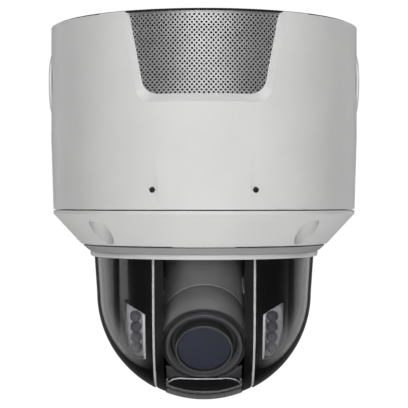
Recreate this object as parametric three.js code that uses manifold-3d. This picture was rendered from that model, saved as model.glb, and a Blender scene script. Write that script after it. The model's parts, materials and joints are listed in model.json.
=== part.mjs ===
// A ceiling-hung pan-tilt-zoom dome camera. Millimetres, +Z up, and the lens side faces -Y.
// The origin is the centre of the top mounting face, so the whole camera hangs below z = 0.
import * as THREE from "three";
import { mergeVertices } from "three/addons/utils/BufferGeometryUtils.js";
import Module from "manifold-3d";

const wasm = await Module();
wasm.setup();

// ---- Driving dimensions ----------------------------------------------------------------------

const GAP = 0.3; // clearance between neighbours that touch or seal on the real camera
const ROUND = 36; // facets round the housing and the dome
const SMALL_ROUND = 16; // facets round shafts, screws and small optics

// Housing
const HOUSING_RADIUS = 85;
const HOUSING_WALL = 3;
const HOUSING_FOOT_RADIUS = 83.8; // the side leans in slightly towards the seam
const RIM_Z = -0.95; // the plastic rim stays a little below the gasket's face
const PILLAR_Z = -0.45; // the rim is raised beside the grille
const DRAFT_START_Z = -62.4;
const SEAM_Z = -100.6;
const GASKET_RADIUS = 83;
const GASKET_WIDTH = 3;
const PLATE_RADIUS = GASKET_RADIUS - GASKET_WIDTH - GAP;
const PLATE_THICKNESS = 6;
const LINER_RADIUS = 78.2; // inner face of the thicker wall behind the grille

// Connector bay, a pocket in the back plate
const BAY = { halfWidth: 34, front: 28, rear: 64, depth: 24, wall: 2 };
const GROMMET = { y: 56, z: -13, neck: 4.4, flange: 6.4, bore: 2.5 };
const MOUNT_HOLE_PITCH_RADIUS = 62;
const MOUNT_HOLE_RADIUS = 2.5;

// Speaker window at the front of the housing
const GRILLE_RADIUS = 81.3;
const GRILLE_SHEET = 0.8;
const GRILLE_TOP_HALF = 38.1;
const GRILLE_BOTTOM_HALF = 30;
const GRILLE_BOTTOM_Z = -42.4;
const BEVEL_TOP_HALF = 41.4;
const BEVEL_BOTTOM_Z = -46.6;
const PILLAR_OUTER_HALF = 53;

const SPEAKER_Z = -25.5;

// Side conduit plugs and microphones
const PLUG_Z = -31.1;
const PLUG_RADIUS = 17.4;
const PLUG_BULGE = 1.15;
const PLUG_STEM_RADIUS = 12;
const PLUG_SEAT_X = 83.2; // the flat seat milled into the side for the plug's cap
const MIC_X = 26;
const MIC_Z = -90.6;
const MIC_HOLE_RADIUS = 1.5;

// Chamfered base ring with four screw pockets
const BASE_TOP_Z = -101.15;
const BASE_EDGE_Z = -103;
const BASE_BOTTOM_Z = -119.55;
const BASE_BOTTOM_RADIUS = 68.5;
const BASE_BORE = 64.3;
const POCKET_PITCH_RADIUS = 75.5;
const POCKET_RADIUS = 6.6;
const POCKET_ROOF_Z = -105.7;
const COUNTERBORE_RADIUS = 4.7; // the screw's head is sunk in the pocket's roof
const COUNTERBORE_Z = -102.5;
const SCREW_ANGLES = [45, 135, 225, 315];
const TONGUE_HALF = 16;

// Trim ring round the top of the dome
const TRIM_TOP_Z = -120.2;
const TRIM_BOTTOM_Z = -126.5;
const TRIM_BORE = 61.9;

// Dome and what turns with it
const DOME_TOP_RADIUS = 61.1;
const DOME_RADIUS = 59.7;
const DOME_WALL = 2.5;
const DOME_TOP_Z = -119;
const DOME_LIP_Z = -126.5;
const TILT_Z = -146.9; // the dome's centre, and the height of the tilt axis
const CENTRE_WINDOW_HALF = 21;
const RIB_INNER = 21.3;
const RIB_OUTER = 25.6;
const SIDE_WINDOW_INNER = 25.9;
const BACK_COVER_Y = 22;
const DECK_Z = -114; // top of the turning deck's outer flange
const DECK_THICKNESS = 4;
const DECK_LIP_Z = -122.4; // foot of the lip that the dome's pieces screw onto
const WELL_RADIUS = 37; // the deck rises in the middle to leave room for the lens unit
const WELL_ROOF_Z = -105;
const HUB_OUTER = 20;
const HUB_BORE = 12.5;
const HUB_TOP_Z = -82;

// Infrared pods beside the lens
const POD_INNER = 29.5;
const POD_OUTER = 42.6;
const POD_SHOULDER = 48.6;
const LED_X = 36.7;
const LED_DROP = 30; // degrees that the infrared lamps point down
const LED_PITCH = 6.7;
const LED_COUNT = 4;

// Camera module: u runs forward along the optical axis, v runs up, both from the tilt axis
const TILT_REST = 30; // degrees that the lens points down at rest
const OPTIC_DROP = 2.8; // the optical axis passes this far below the tilt axis
const MODULE_RADIUS = 22.8;
const HOOD_FRONT = 46.6;
const SEAM_U = 23;
const MODULE_REAR = -34;
const BEZEL_RADIUS = 20.5;
const BEZEL_FRONT = 48.5;
const LENS_RING_RADIUS = 15.3;
const LENS_RING_FRONT = 51.3;
const GLASS_RADIUS = 14.2;
const ARM_INNER = 25.8;
const ARM_OUTER = 28.6;
const TRUNNION_RADIUS = 4;

// Drives
const CHASSIS_Z = -88; // top face of the chassis plate
const BELT_Z = [-100, -94];
const PAN_PULLEY_RADIUS = 30;
const PAN_MOTOR = { x: -48.5, y: 28, pulley: 8 };
const TILT_PULLEY_RADIUS = 13;
const TILT_MOTOR = { y: 15, z: -132, pulley: 5, radius: 9.5 };
const TILT_BELT_X = [29.3, 33.3];

// ---- Solids ----------------------------------------------------------------------------------

// A closed geometry as a manifold-3d solid, facing out whichever way its faces were wound.
function solid(geometry) {
  const plain = geometry.clone();
  plain.deleteAttribute("normal");
  plain.deleteAttribute("uv");
  const merged = mergeVertices(plain, 1e-4);
  const index = merged.index.array;
  const faces = [];
  for (let i = 0; i < index.length; i += 3) {
    const [a, b, c] = [index[i], index[i + 1], index[i + 2]];
    if (a !== b && b !== c && c !== a) faces.push([a, b, c]);
  }
  const build = (list) =>
    new wasm.Manifold(
      new wasm.Mesh({
        numProp: 3,
        vertProperties: merged.attributes.position.array,
        triVerts: new Uint32Array(list.flat()),
      }),
    );
  const made = build(faces);
  return made.volume() < 0 ? build(faces.map(([a, b, c]) => [a, c, b])) : made;
}

// Turns a profile of [radius, z] points round the Z axis. An open profile starts and ends on the axis.
function lathe(profile, facets = ROUND) {
  const points = profile.map(([r, z]) => new THREE.Vector2(r, z));
  return solid(new THREE.LatheGeometry(points, facets).rotateX(Math.PI / 2));
}

// A ring of rectangular section about the Z axis.
function ring(inner, outer, z0, z1, facets = ROUND) {
  const profile = [
    [inner, z0],
    [outer, z0],
    [outer, z1],
    [inner, z1],
    [inner, z0],
  ];
  return lathe(profile, facets);
}

function box([x0, x1], [y0, y1], [z0, z1]) {
  const geometry = new THREE.BoxGeometry(x1 - x0, y1 - y0, z1 - z0);
  return solid(geometry.translate((x0 + x1) / 2, (y0 + y1) / 2, (z0 + z1) / 2));
}

// A round bar along "x", "y" or "z" from low to high, centred on the two remaining coordinates.
function bar(axis, radius, low, high, [a, b] = [0, 0], facets = SMALL_ROUND) {
  const geometry = new THREE.CylinderGeometry(radius, radius, high - low, facets);
  const middle = (low + high) / 2;
  if (axis === "x") geometry.rotateZ(Math.PI / 2).translate(middle, a, b);
  else if (axis === "y") geometry.translate(a, middle, b);
  else geometry.rotateX(Math.PI / 2).translate(a, b, middle);
  return solid(geometry);
}

// An outline of [x, z] points pushed along Y from y0 to y1.
function slabThroughY(outline, [y0, y1]) {
  const shape = new THREE.Shape(outline.map(([x, z]) => new THREE.Vector2(x, z)));
  const geometry = new THREE.ExtrudeGeometry(shape, { depth: y1 - y0, bevelEnabled: false });
  return solid(geometry.rotateX(Math.PI / 2).translate(0, y1, 0));
}

// An outline of [a, b] points pushed along X from x0 to x1, with a along Y and b along Z.
function slabThroughX(outline, [x0, x1]) {
  const shape = new THREE.Shape(outline.map(([y, z]) => new THREE.Vector2(y, z)));
  const geometry = new THREE.ExtrudeGeometry(shape, { depth: x1 - x0, bevelEnabled: false });
  geometry.rotateX(Math.PI / 2).rotateZ(Math.PI / 2);
  return solid(geometry.translate(x0, 0, 0));
}

function joined(parts) {
  return parts.reduce((whole, part) => whole.add(part));
}

function cutBy(body, tools) {
  return tools.reduce((rest, tool) => rest.subtract(tool), body);
}

function atAngle(radius, degrees) {
  const turn = THREE.MathUtils.degToRad(degrees);
  return [radius * Math.cos(turn), radius * Math.sin(turn)];
}

// ---- Scene graph -----------------------------------------------------------------------------

const SURFACES = {
  housing: { color: 0xe4e4e2, roughness: 0.5, metalness: 0 },
  grille: { color: 0xbfc0c0, roughness: 0.45, metalness: 0.3 },
  trim: { color: 0xc9c9c9, roughness: 0.35, metalness: 0.3 },
  castAlloy: { color: 0xa4a6a8, roughness: 0.5, metalness: 0.8 },
  steel: { color: 0xb8b8ba, roughness: 0.35, metalness: 0.9 },
  brass: { color: 0xb59a56, roughness: 0.4, metalness: 0.9 },
  rubber: { color: 0x151515, roughness: 0.85, metalness: 0 },
  blackPlastic: { color: 0x1c1c1e, roughness: 0.55, metalness: 0 },
  glossBlack: { color: 0x0c0c0e, roughness: 0.12, metalness: 0 },
  clear: { color: 0xdfe5e8, roughness: 0.05, metalness: 0, transparent: true, opacity: 0.25 },
  tinted: { color: 0x6c6c70, roughness: 0.15, metalness: 0, transparent: true, opacity: 0.7 },
  glass: { color: 0x23262c, roughness: 0.05, metalness: 0 },
  board: { color: 0x1f5a35, roughness: 0.5, metalness: 0 },
  greyPlastic: { color: 0x4a4b4d, roughness: 0.5, metalness: 0 },
};

function part(name, body, surface) {
  const mesh = body.getMesh();
  const geometry = new THREE.BufferGeometry();
  geometry.setAttribute("position", new THREE.BufferAttribute(mesh.vertProperties, 3));
  geometry.setIndex(new THREE.BufferAttribute(mesh.triVerts, 1));
  geometry.computeVertexNormals();
  const made = new THREE.Mesh(geometry, new THREE.MeshStandardMaterial(SURFACES[surface]));
  made.name = name;
  return made;
}

const SIDES = [
  ["left", -1],
  ["right", 1],
];

// Mirrors a span on the +X side to the side in hand, with its lower end first.
function sideSpan(sign, inner, outer) {
  return sign > 0 ? [inner, outer] : [-outer, -inner];
}

// ---- Housing ---------------------------------------------------------------------------------

// Full-depth outline of the speaker window, straight slanting sides and round lower corners.
function windowOutline(topHalf, bottomHalf, bottomZ, corner) {
  const steps = 4;
  const side = [];
  for (let i = 0; i <= steps; i += 1) {
    const turn = (Math.PI / 2) * (i / steps);
    const x = bottomHalf - corner + corner * Math.cos(turn);
    side.push([x, bottomZ + corner - corner * Math.sin(turn)]);
  }
  const right = [[topHalf, 5], ...side];
  const left = right.map(([x, z]) => [-x, z]).reverse();
  return [...right, ...left];
}

function upperShell() {
  const wallFoot = HOUSING_FOOT_RADIUS - HOUSING_WALL;
  const inside = HOUSING_RADIUS - HOUSING_WALL;
  const pillarInside = GASKET_RADIUS + GAP;
  const profile = [
    [inside, RIM_Z],
    [pillarInside, RIM_Z],
    [pillarInside, PILLAR_Z],
    [HOUSING_RADIUS - 0.4, PILLAR_Z],
    [HOUSING_RADIUS, PILLAR_Z - 0.4],
    [HOUSING_RADIUS, DRAFT_START_Z],
    [HOUSING_FOOT_RADIUS, SEAM_Z],
    [wallFoot, SEAM_Z],
    [inside, DRAFT_START_Z],
    [inside, RIM_Z],
  ];
  const bosses = SCREW_ANGLES.map((degrees) =>
    bar("z", 6.8, SEAM_Z, SEAM_Z + 16, atAngle(POCKET_PITCH_RADIUS, degrees)),
  );
  const liner = ring(LINER_RADIUS, HOUSING_RADIUS - 1, BEVEL_BOTTOM_Z - 2.5, RIM_Z);
  const linerZone = box([-46, 46], [-HOUSING_RADIUS, -60], [BEVEL_BOTTOM_Z - 3, 0]);
  const body = joined([lathe(profile), ...bosses, liner.intersect(linerZone)]);

  const pillars = box([-PILLAR_OUTER_HALF, PILLAR_OUTER_HALF], [-90, 0], [-1.2, 0.5]);
  const rimCut = ring(70, 90, RIM_Z, 1).subtract(pillars);
  const window = (margin) =>
    slabThroughY(
      windowOutline(GRILLE_TOP_HALF + margin, GRILLE_BOTTOM_HALF + margin, GRILLE_BOTTOM_Z - margin, 8),
      [-90, -60],
    );
  const bevel = windowOutline(BEVEL_TOP_HALF, 33.4, BEVEL_BOTTOM_Z, 8);
  const recess = slabThroughY(bevel, [-90, -60]).intersect(ring(GRILLE_RADIUS + GAP, 95, -60, 5));
  const seat = window(2).intersect(ring(GRILLE_RADIUS - GRILLE_SHEET - GAP, 95, -60, 5));
  const throat = window(0).intersect(ring(LINER_RADIUS - 3, GRILLE_RADIUS, -60, 5));
  const plugHoles = bar("x", PLUG_STEM_RADIUS + GAP, -95, 95, [0, PLUG_Z], 24);
  const plugSeats = SIDES.map(([, sign]) =>
    bar("x", PLUG_RADIUS + GAP, ...sideSpan(sign, PLUG_SEAT_X, 95), [0, PLUG_Z], 28),
  );
  const micHoles = SIDES.map(([, sign]) =>
    bar("y", MIC_HOLE_RADIUS, -90, -72, [sign * MIC_X, MIC_Z], 12),
  );
  const screwHoles = SCREW_ANGLES.map((degrees) =>
    bar("z", 2.3, SEAM_Z - 1, SEAM_Z + 13, atAngle(POCKET_PITCH_RADIUS, degrees), 10),
  );
  const seatRing = ring(GRILLE_RADIUS - GRILLE_SHEET - GAP, GRILLE_RADIUS + 1, -60, 5);
  const openings = [rimCut, recess, seat.intersect(seatRing), throat];
  return cutBy(body, [...openings, plugHoles, ...plugSeats, ...micHoles, ...screwHoles]);
}

function speakerGrille() {
  const outline = windowOutline(GRILLE_TOP_HALF + 1.6, GRILLE_BOTTOM_HALF + 1.6, GRILLE_BOTTOM_Z - 1.6, 8);
  const sheet = ring(GRILLE_RADIUS - GRILLE_SHEET, GRILLE_RADIUS, -60, RIM_Z);
  return sheet.intersect(slabThroughY(outline, [-90, -60]));
}

function backPlate() {
  const rim = HOUSING_RADIUS - HOUSING_WALL - GAP;
  const disc = lathe([
    [0, 0],
    [PLATE_RADIUS, 0],
    [PLATE_RADIUS, RIM_Z],
    [rim, RIM_Z],
    [rim, -PLATE_THICKNESS],
    [0, -PLATE_THICKNESS],
  ]);
  const { halfWidth, front, rear, depth, wall } = BAY;
  const tray = box(
    [-halfWidth - wall, halfWidth + wall],
    [front - wall, rear + wall],
    [-depth - wall, -PLATE_THICKNESS + 1],
  );
  const pocket = box([-halfWidth, halfWidth], [front, rear], [-depth, 1]);
  const holes = SCREW_ANGLES.map((degrees) => atAngle(MOUNT_HOLE_PITCH_RADIUS, degrees));
  const bosses = holes.map((centre) => bar("z", 6, -12, -PLATE_THICKNESS + 1, centre));
  const bores = holes.map((centre) => bar("z", MOUNT_HOLE_RADIUS, -9, 1, centre, 16));
  const linerRoom = ring(LINER_RADIUS - GAP, 90, -PLATE_THICKNESS - 1, RIM_Z + GAP).intersect(
    box([-46.5, 46.5], [-90, -50], [-10, 1]),
  );
  const grommetHole = bar("x", GROMMET.neck + GAP, -BAY.halfWidth - 5, 0, [GROMMET.y, GROMMET.z]);
  return cutBy(joined([disc, tray, ...bosses]), [pocket, ...bores, linerRoom, grommetHole]);
}

function conduitPlug(sign) {
  // A shallow domed cap in a flat seat, on the stem that screws into the side of the housing.
  const sphere = (PLUG_RADIUS ** 2 + PLUG_BULGE ** 2) / (2 * PLUG_BULGE);
  const foot = PLUG_SEAT_X + GAP - HOUSING_RADIUS;
  const profile = [
    [0, foot],
    [PLUG_RADIUS, foot],
  ];
  const steps = 5;
  for (let i = 0; i <= steps; i += 1) {
    const radius = PLUG_RADIUS * (1 - i / steps);
    profile.push([radius, Math.sqrt(sphere ** 2 - radius ** 2) - sphere + PLUG_BULGE]);
  }
  const cap = lathe(profile, 28)
    .rotate([0, sign * 90, 0])
    .translate([sign * HOUSING_RADIUS, 0, PLUG_Z]);
  const stemSpan = sideSpan(sign, HOUSING_RADIUS - 9, HOUSING_RADIUS - 0.5);
  return cap.add(bar("x", PLUG_STEM_RADIUS, ...stemSpan, [0, PLUG_Z], 24));
}

function microphone(sign) {
  return bar("y", 3.2, -75, -72, [sign * MIC_X, MIC_Z]);
}

function speakerBox() {
  // Open at the front, towards the grille, with a hole at the back for the magnet.
  const outer = box([-31, 31], [-69.8, -48], [-43, -8]);
  const inner = box([-29, 29], [-80, -50], [-41, -10]);
  const back = bar("y", 12, -53, -45, [0, SPEAKER_Z], 24);
  return outer.subtract(inner).subtract(back);
}

function speakerDriver() {
  // Flange, basket and magnet on one axis, with the cone hollowed into the front.
  const centre = [0, SPEAKER_Z];
  const flange = bar("y", 15, -69, -67, centre, 24);
  const basket = bar("y", 13, -68, -56, centre, 24);
  const magnet = bar("y", 11, -57, -44, centre, 24);
  const cone = new THREE.CylinderGeometry(6, 12.5, 5.2, 24).translate(0, -66.5, SPEAKER_Z);
  return joined([flange, basket, magnet]).subtract(solid(cone));
}

function rimGasket() {
  return ring(PLATE_RADIUS + GAP, GASKET_RADIUS, RIM_Z + GAP, 0);
}

// ---- Base ring -------------------------------------------------------------------------------

function baseRing() {
  const outline = [
    [0, BASE_TOP_Z],
    [HOUSING_FOOT_RADIUS - 0.4, BASE_TOP_Z],
    [HOUSING_FOOT_RADIUS, BASE_TOP_Z - 0.4],
    [HOUSING_FOOT_RADIUS, BASE_EDGE_Z],
    [BASE_BOTTOM_RADIUS, BASE_BOTTOM_Z],
    [0, BASE_BOTTOM_Z],
  ];
  const outer = lathe(outline);
  const hollow = lathe([
    [0, BASE_TOP_Z + 1],
    [79.2, BASE_TOP_Z + 1],
    [79.2, BASE_EDGE_Z - 0.5],
    [69.5, -113.5],
    [BASE_BORE, -113.5],
    [BASE_BORE, BASE_BOTTOM_Z - 1],
    [0, BASE_BOTTOM_Z - 1],
  ]);
  const centres = SCREW_ANGLES.map((degrees) => atAngle(POCKET_PITCH_RADIUS, degrees));
  const bosses = centres.map((centre) => bar("z", 9, -114, BASE_TOP_Z, centre).intersect(outer));
  const pockets = centres.map((centre) => bar("z", POCKET_RADIUS, -125, POCKET_ROOF_Z, centre));
  const sinks = centres.map((centre) => bar("z", COUNTERBORE_RADIUS, -110, COUNTERBORE_Z, centre));
  const holes = centres.map((centre) => bar("z", 2.3, -110, -98, centre, 10));
  const sealGroove = ring(81.1, 82.9, BASE_TOP_Z - 1.5, BASE_TOP_Z + 1);
  const body = joined([outer.subtract(hollow), ...bosses]);
  const tongue = ring(65.5, BASE_BOTTOM_RADIUS - 0.4, BASE_BOTTOM_Z - 0.35, BASE_BOTTOM_Z + 1).intersect(
    box([-TONGUE_HALF, TONGUE_HALF], [-90, 0], [-125, -110]),
  );
  return cutBy(body.add(tongue), [sealGroove, ...pockets, ...sinks, ...holes]);
}

function baseScrew(degrees) {
  const [x, y] = atAngle(POCKET_PITCH_RADIUS, degrees);
  const seat = COUNTERBORE_Z - GAP;
  const head = bar("z", 4.2, seat - 3.1, seat, [x, y]);
  const shank = bar("z", 2, seat - 1, SEAM_Z + 12, [x, y], 10);
  const socketGeometry = new THREE.CylinderGeometry(1.9, 1.9, 3.6, 6).rotateX(Math.PI / 2);
  const socket = solid(socketGeometry.translate(x, y, seat - 3.1));
  return head.add(shank).subtract(socket);
}

function trimRing() {
  // A cove runs down from the base ring to a bright rounded lip round the dome.
  return lathe([
    [TRIM_BORE, -113.8],
    [BASE_BORE - GAP, -113.8],
    [BASE_BORE - GAP, TRIM_TOP_Z],
    [67.6, TRIM_TOP_Z],
    [66.6, -121.6],
    [65.1, -122.9],
    [63.9, -123.7],
    [64.4, -124.4],
    [64.2, -125.4],
    [63.4, -126.2],
    [62.3, TRIM_BOTTOM_Z],
    [TRIM_BORE, TRIM_BOTTOM_Z + 0.3],
    [TRIM_BORE, -113.8],
  ]);
}

// ---- Electronics and chassis -----------------------------------------------------------------

function chassis() {
  const plate = ring(26, 80, CHASSIS_Z - 3, CHASSIS_Z);
  const bearingSeat = ring(29.3, 33, CHASSIS_Z - 1, CHASSIS_Z + 10);
  const bearingRoom = ring(10, 29.3, CHASSIS_Z - 1.5, CHASSIS_Z + 1);
  const posts = [90, 210, 330].map((degrees) =>
    bar("z", 4, CHASSIS_Z - 1, -54, atAngle(60, degrees), 16),
  );
  const notches = SCREW_ANGLES.map((degrees) =>
    bar("z", 8.4, CHASSIS_Z - 4, CHASSIS_Z + 1, atAngle(POCKET_PITCH_RADIUS - 1, degrees)),
  );
  const micRooms = SIDES.map(([, sign]) =>
    box(sideSpan(sign, MIC_X - 4, MIC_X + 4), [-90, -71], [CHASSIS_Z - 4, CHASSIS_Z + 1]),
  );
  const shaftHole = bar("z", 4, CHASSIS_Z - 4, CHASSIS_Z + 1, [PAN_MOTOR.x, PAN_MOTOR.y]);
  const body = joined([plate, bearingSeat, ...posts]);
  return cutBy(body, [bearingRoom, shaftHole, ...micRooms, ...notches]);
}

function mainBoard() {
  const disc = bar("z", 68, -53.6, -52, [0, 0]);
  const speakerRoom = box([-36, 36], [-90, -46], [-60, -50]);
  const chips = [
    box([-14, 14], [-14, 14], [-52.2, -49.6]),
    box([24, 38], [-10, 6], [-52.2, -50.4]),
    box([24, 38], [12, 28], [-52.2, -50.4]),
    box([-46, -34], [-6, 6], [-52.2, -49]),
    box([-14, 8], [40, 58], [-52.2, -40]),
    bar("z", 4.6, -52.2, -42, [18, 48], 16),
    bar("z", 4.6, -52.2, -42, [29, 48], 16),
  ];
  return joined([disc.subtract(speakerRoom), ...chips]);
}

function heatSink() {
  const base = box([-24, 24], [-20, 20], [-49.3, -46]);
  const fins = [];
  for (let x = -23; x <= 21; x += 5.5) fins.push(box([x, x + 2], [-20, 20], [-46.5, -34]));
  return joined([base, ...fins]);
}

function ioBoard() {
  // The bay's circuit board, with the network jack, the terminal block and the card socket on it.
  const board = box([-30, 33], [31, 61], [-BAY.depth + GAP, -BAY.depth + GAP + 1.6]);
  const floor = -BAY.depth + 1;
  const jack = cutBy(box([-26, -9], [34, 50], [floor, -10]), [
    box([-23.4, -11.6], [37, 46], [-20, -9]),
    box([-19.5, -15.5], [45, 48.4], [-18, -9]),
  ]);
  const poles = [-7.2, -2.4, 2.4, 7.2].map((x) => 10 + x);
  const terminals = cutBy(box([0, 20], [36, 50], [floor, -12]), [
    ...poles.map((x) => bar("z", 1.6, -17, -11, [x, 39.6], 12)),
    ...poles.map((x) => box([x - 1.4, x + 1.4], [44, 48], [-20, -11])),
  ]);
  const socket = box([24, 31], [34, 50], [floor, -15]).subtract(
    box([26.4, 28.6], [35.2, 48.8], [-20, -14]),
  );
  return joined([board, jack, terminals, socket]);
}

function memoryCard() {
  return box([26.8, 28.2], [36.5, 47.5], [-19.6, -12]);
}

function cableGrommet() {
  // A soft collar in the bay's left wall, for a cable that comes in through a side conduit.
  const { y, z, neck, flange, bore } = GROMMET;
  const wall = [-BAY.halfWidth - BAY.wall, -BAY.halfWidth];
  const body = joined([
    bar("x", flange, wall[0] - GAP - 2, wall[0] - GAP, [y, z]),
    bar("x", neck, wall[0] - 1, wall[1] + 1, [y, z]),
    bar("x", flange, wall[1] + GAP, wall[1] + GAP + 2, [y, z]),
  ]);
  return body.subtract(bar("x", bore, wall[0] - 5, wall[1] + 5, [y, z], 12));
}

// ---- Pan drive -------------------------------------------------------------------------------

function motorBody(x, y, z0, z1, half) {
  const corner = half * 0.3;
  const square = box([x - half, x + half], [y - half, y + half], [z0, z1]);
  const cutters = [45, 135, 225, 315].map((degrees) => {
    const geometry = new THREE.BoxGeometry(corner * 2, corner * 4, z1 - z0 + 2);
    geometry.rotateZ(THREE.MathUtils.degToRad(degrees));
    const [cx, cy] = atAngle(half * Math.SQRT2 + corner * 0.3, degrees);
    return solid(geometry.translate(x + cx, y + cy, (z0 + z1) / 2));
  });
  return cutBy(square, cutters);
}

function panMotor() {
  const { x, y } = PAN_MOTOR;
  const body = motorBody(x, y, CHASSIS_Z + GAP, CHASSIS_Z + 26, 16.5);
  const shaft = bar("z", 2.2, BELT_Z[0], CHASSIS_Z + 2, [x, y], 16);
  return body.add(shaft);
}

function panMotorPulley() {
  const { x, y, pulley } = PAN_MOTOR;
  const wheel = bar("z", pulley, BELT_Z[0], BELT_Z[1], [x, y]);
  return wheel.subtract(bar("z", 2.5, BELT_Z[0] - 1, BELT_Z[1] + 1, [x, y], 16));
}

// A flat belt round two pulleys. Its plane is across the given axis.
function belt(axis, span, big, small, thickness) {
  const wrap = (extra) => {
    const distance = Math.hypot(small.a - big.a, small.b - big.b);
    const heading = Math.atan2(small.b - big.b, small.a - big.a);
    const lean = Math.acos((big.radius - small.radius) / distance);
    const outline = [];
    const bigSteps = 24;
    const smallSteps = 8;
    for (let i = 0; i <= bigSteps; i += 1) {
      const turn = heading + lean + ((2 * Math.PI - 2 * lean) * i) / bigSteps;
      const radius = big.radius + extra;
      outline.push([big.a + radius * Math.cos(turn), big.b + radius * Math.sin(turn)]);
    }
    for (let i = 0; i <= smallSteps; i += 1) {
      const turn = heading - lean + (2 * lean * i) / smallSteps;
      const radius = small.radius + extra;
      outline.push([small.a + radius * Math.cos(turn), small.b + radius * Math.sin(turn)]);
    }
    return outline;
  };
  const shape = new THREE.Shape(wrap(GAP + thickness).map(([a, b]) => new THREE.Vector2(a, b)));
  shape.holes.push(new THREE.Path(wrap(GAP).map(([a, b]) => new THREE.Vector2(a, b))));
  const depth = span[1] - span[0];
  const geometry = new THREE.ExtrudeGeometry(shape, { depth, bevelEnabled: false });
  if (axis === "x") geometry.rotateX(Math.PI / 2).rotateZ(Math.PI / 2).translate(span[0], 0, 0);
  else geometry.translate(0, 0, span[0]);
  return solid(geometry);
}

function panBelt() {
  const big = { a: 0, b: 0, radius: PAN_PULLEY_RADIUS };
  const small = { a: PAN_MOTOR.x, b: PAN_MOTOR.y, radius: PAN_MOTOR.pulley };
  return belt("z", [BELT_Z[0] + 0.5, BELT_Z[1] - 0.5], big, small, 1.2);
}

function slipRingStator() {
  const can = bar("z", 10.5, CHASSIS_Z + 8, -62, [0, 0], 24);
  const flange = ring(4, 33, CHASSIS_Z + 10.3, CHASSIS_Z + 12);
  return can.add(flange);
}

// ---- Turning head ----------------------------------------------------------------------------

// The dome's outer form moved inwards by an offset, closed by a flat top.
function domeForm(offset, topZ = DOME_TOP_Z) {
  const steps = 9;
  const profile = [
    [0, topZ],
    [DOME_TOP_RADIUS - offset, topZ],
    [DOME_TOP_RADIUS - offset, DOME_LIP_Z],
  ];
  for (let i = 0; i <= steps; i += 1) {
    const turn = (Math.PI / 2) * (i / steps);
    const radius = DOME_RADIUS - offset;
    profile.push([radius * Math.cos(turn), TILT_Z - radius * Math.sin(turn)]);
  }
  profile[profile.length - 1][0] = 0;
  return lathe(profile);
}

function domeShell(outerOffset, innerOffset, topZ) {
  return domeForm(outerOffset, topZ).subtract(domeForm(innerOffset, topZ + 1));
}

const HEAD_FRONT = [-70, BACK_COVER_Y - GAP];
const HEAD_HEIGHT = [-210, DOME_TOP_Z + 1];

function centreWindow() {
  const strip = box([-CENTRE_WINDOW_HALF, CENTRE_WINDOW_HALF], HEAD_FRONT, HEAD_HEIGHT);
  return domeShell(0, DOME_WALL, DOME_TOP_Z).intersect(strip);
}

function sideWindow(sign) {
  const cap = box(sideSpan(sign, SIDE_WINDOW_INNER, 70), HEAD_FRONT, HEAD_HEIGHT);
  return domeShell(0, DOME_WALL, DOME_TOP_Z).intersect(cap);
}

function headFrame() {
  // The opaque rear cover and the two ribs that part the three windows, moulded as one.
  const rear = box([-70, 70], [BACK_COVER_Y, 70], HEAD_HEIGHT);
  const cover = domeShell(0, DOME_WALL, DOME_TOP_Z).intersect(rear);
  const ribs = SIDES.map(([, sign]) => {
    const strip = box(sideSpan(sign, RIB_INNER, RIB_OUTER), [-70, BACK_COVER_Y + 6], HEAD_HEIGHT);
    return domeShell(0.5, 5.7, DECK_LIP_Z - GAP).intersect(strip);
  });
  return joined([cover, ...ribs]);
}

// The pod's lamp opening: its upper edge slants down towards the lens.
function lampOutline(sign, inner, outer, topInner, topOuter, bottom) {
  return [
    [sign * inner, bottom],
    [sign * outer, bottom],
    [sign * outer, topOuter],
    [sign * inner, topInner],
  ];
}

function headShroud(sign) {
  // The dark inner skin behind a side window, with the infrared pod's face stepped into it.
  const skin = domeShell(2.8, 6.6, -124).intersect(
    box(sideSpan(sign, POD_SHOULDER, 70), HEAD_FRONT, [-210, -124]),
  );
  const shoulder = domeShell(4.8, 6.6, -124).intersect(
    box(sideSpan(sign, POD_OUTER - 0.5, POD_SHOULDER + 0.5), [-70, 0], [-210, -124]),
  );
  const face = domeShell(3.2, 6.6, -124).intersect(
    box(sideSpan(sign, POD_INNER, POD_OUTER), [-70, 0], [-210, -124]),
  );
  const opening = lampOutline(sign, POD_INNER + 1.4, POD_OUTER - 1, -157, -152.6, -181);
  return joined([skin, shoulder, face]).subtract(slabThroughY(opening, [-70, -10]));
}

function irWindow(sign) {
  const edges = lampOutline(sign, POD_INNER + 1.7, POD_OUTER - 1.3, -157.4, -153, -180.7);
  return domeShell(3.4, 5, -124).intersect(slabThroughY(edges, [-60, -12]));
}

function irBoard(sign) {
  // Built flat with the lamps facing -Y, then leaned down and moved into its pod.
  const board = box([-4.7, 4.7], [0, 1.6], [-14, 13]);
  const lamps = [];
  for (let i = 0; i < LED_COUNT; i += 1) {
    const z = ((LED_COUNT - 1) / 2 - i) * LED_PITCH;
    const foot = bar("y", 3.1, -3.4, 0.4, [0, z], 10);
    const bulb = new THREE.SphereGeometry(3, 10, 5).translate(0, -3.2, z);
    lamps.push(foot.add(solid(bulb)));
  }
  const leaned = joined([board, ...lamps]).rotate([LED_DROP, 0, 0]);
  return leaned.translate([sign * LED_X, -25, TILT_Z - 15.5]);
}

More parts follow.
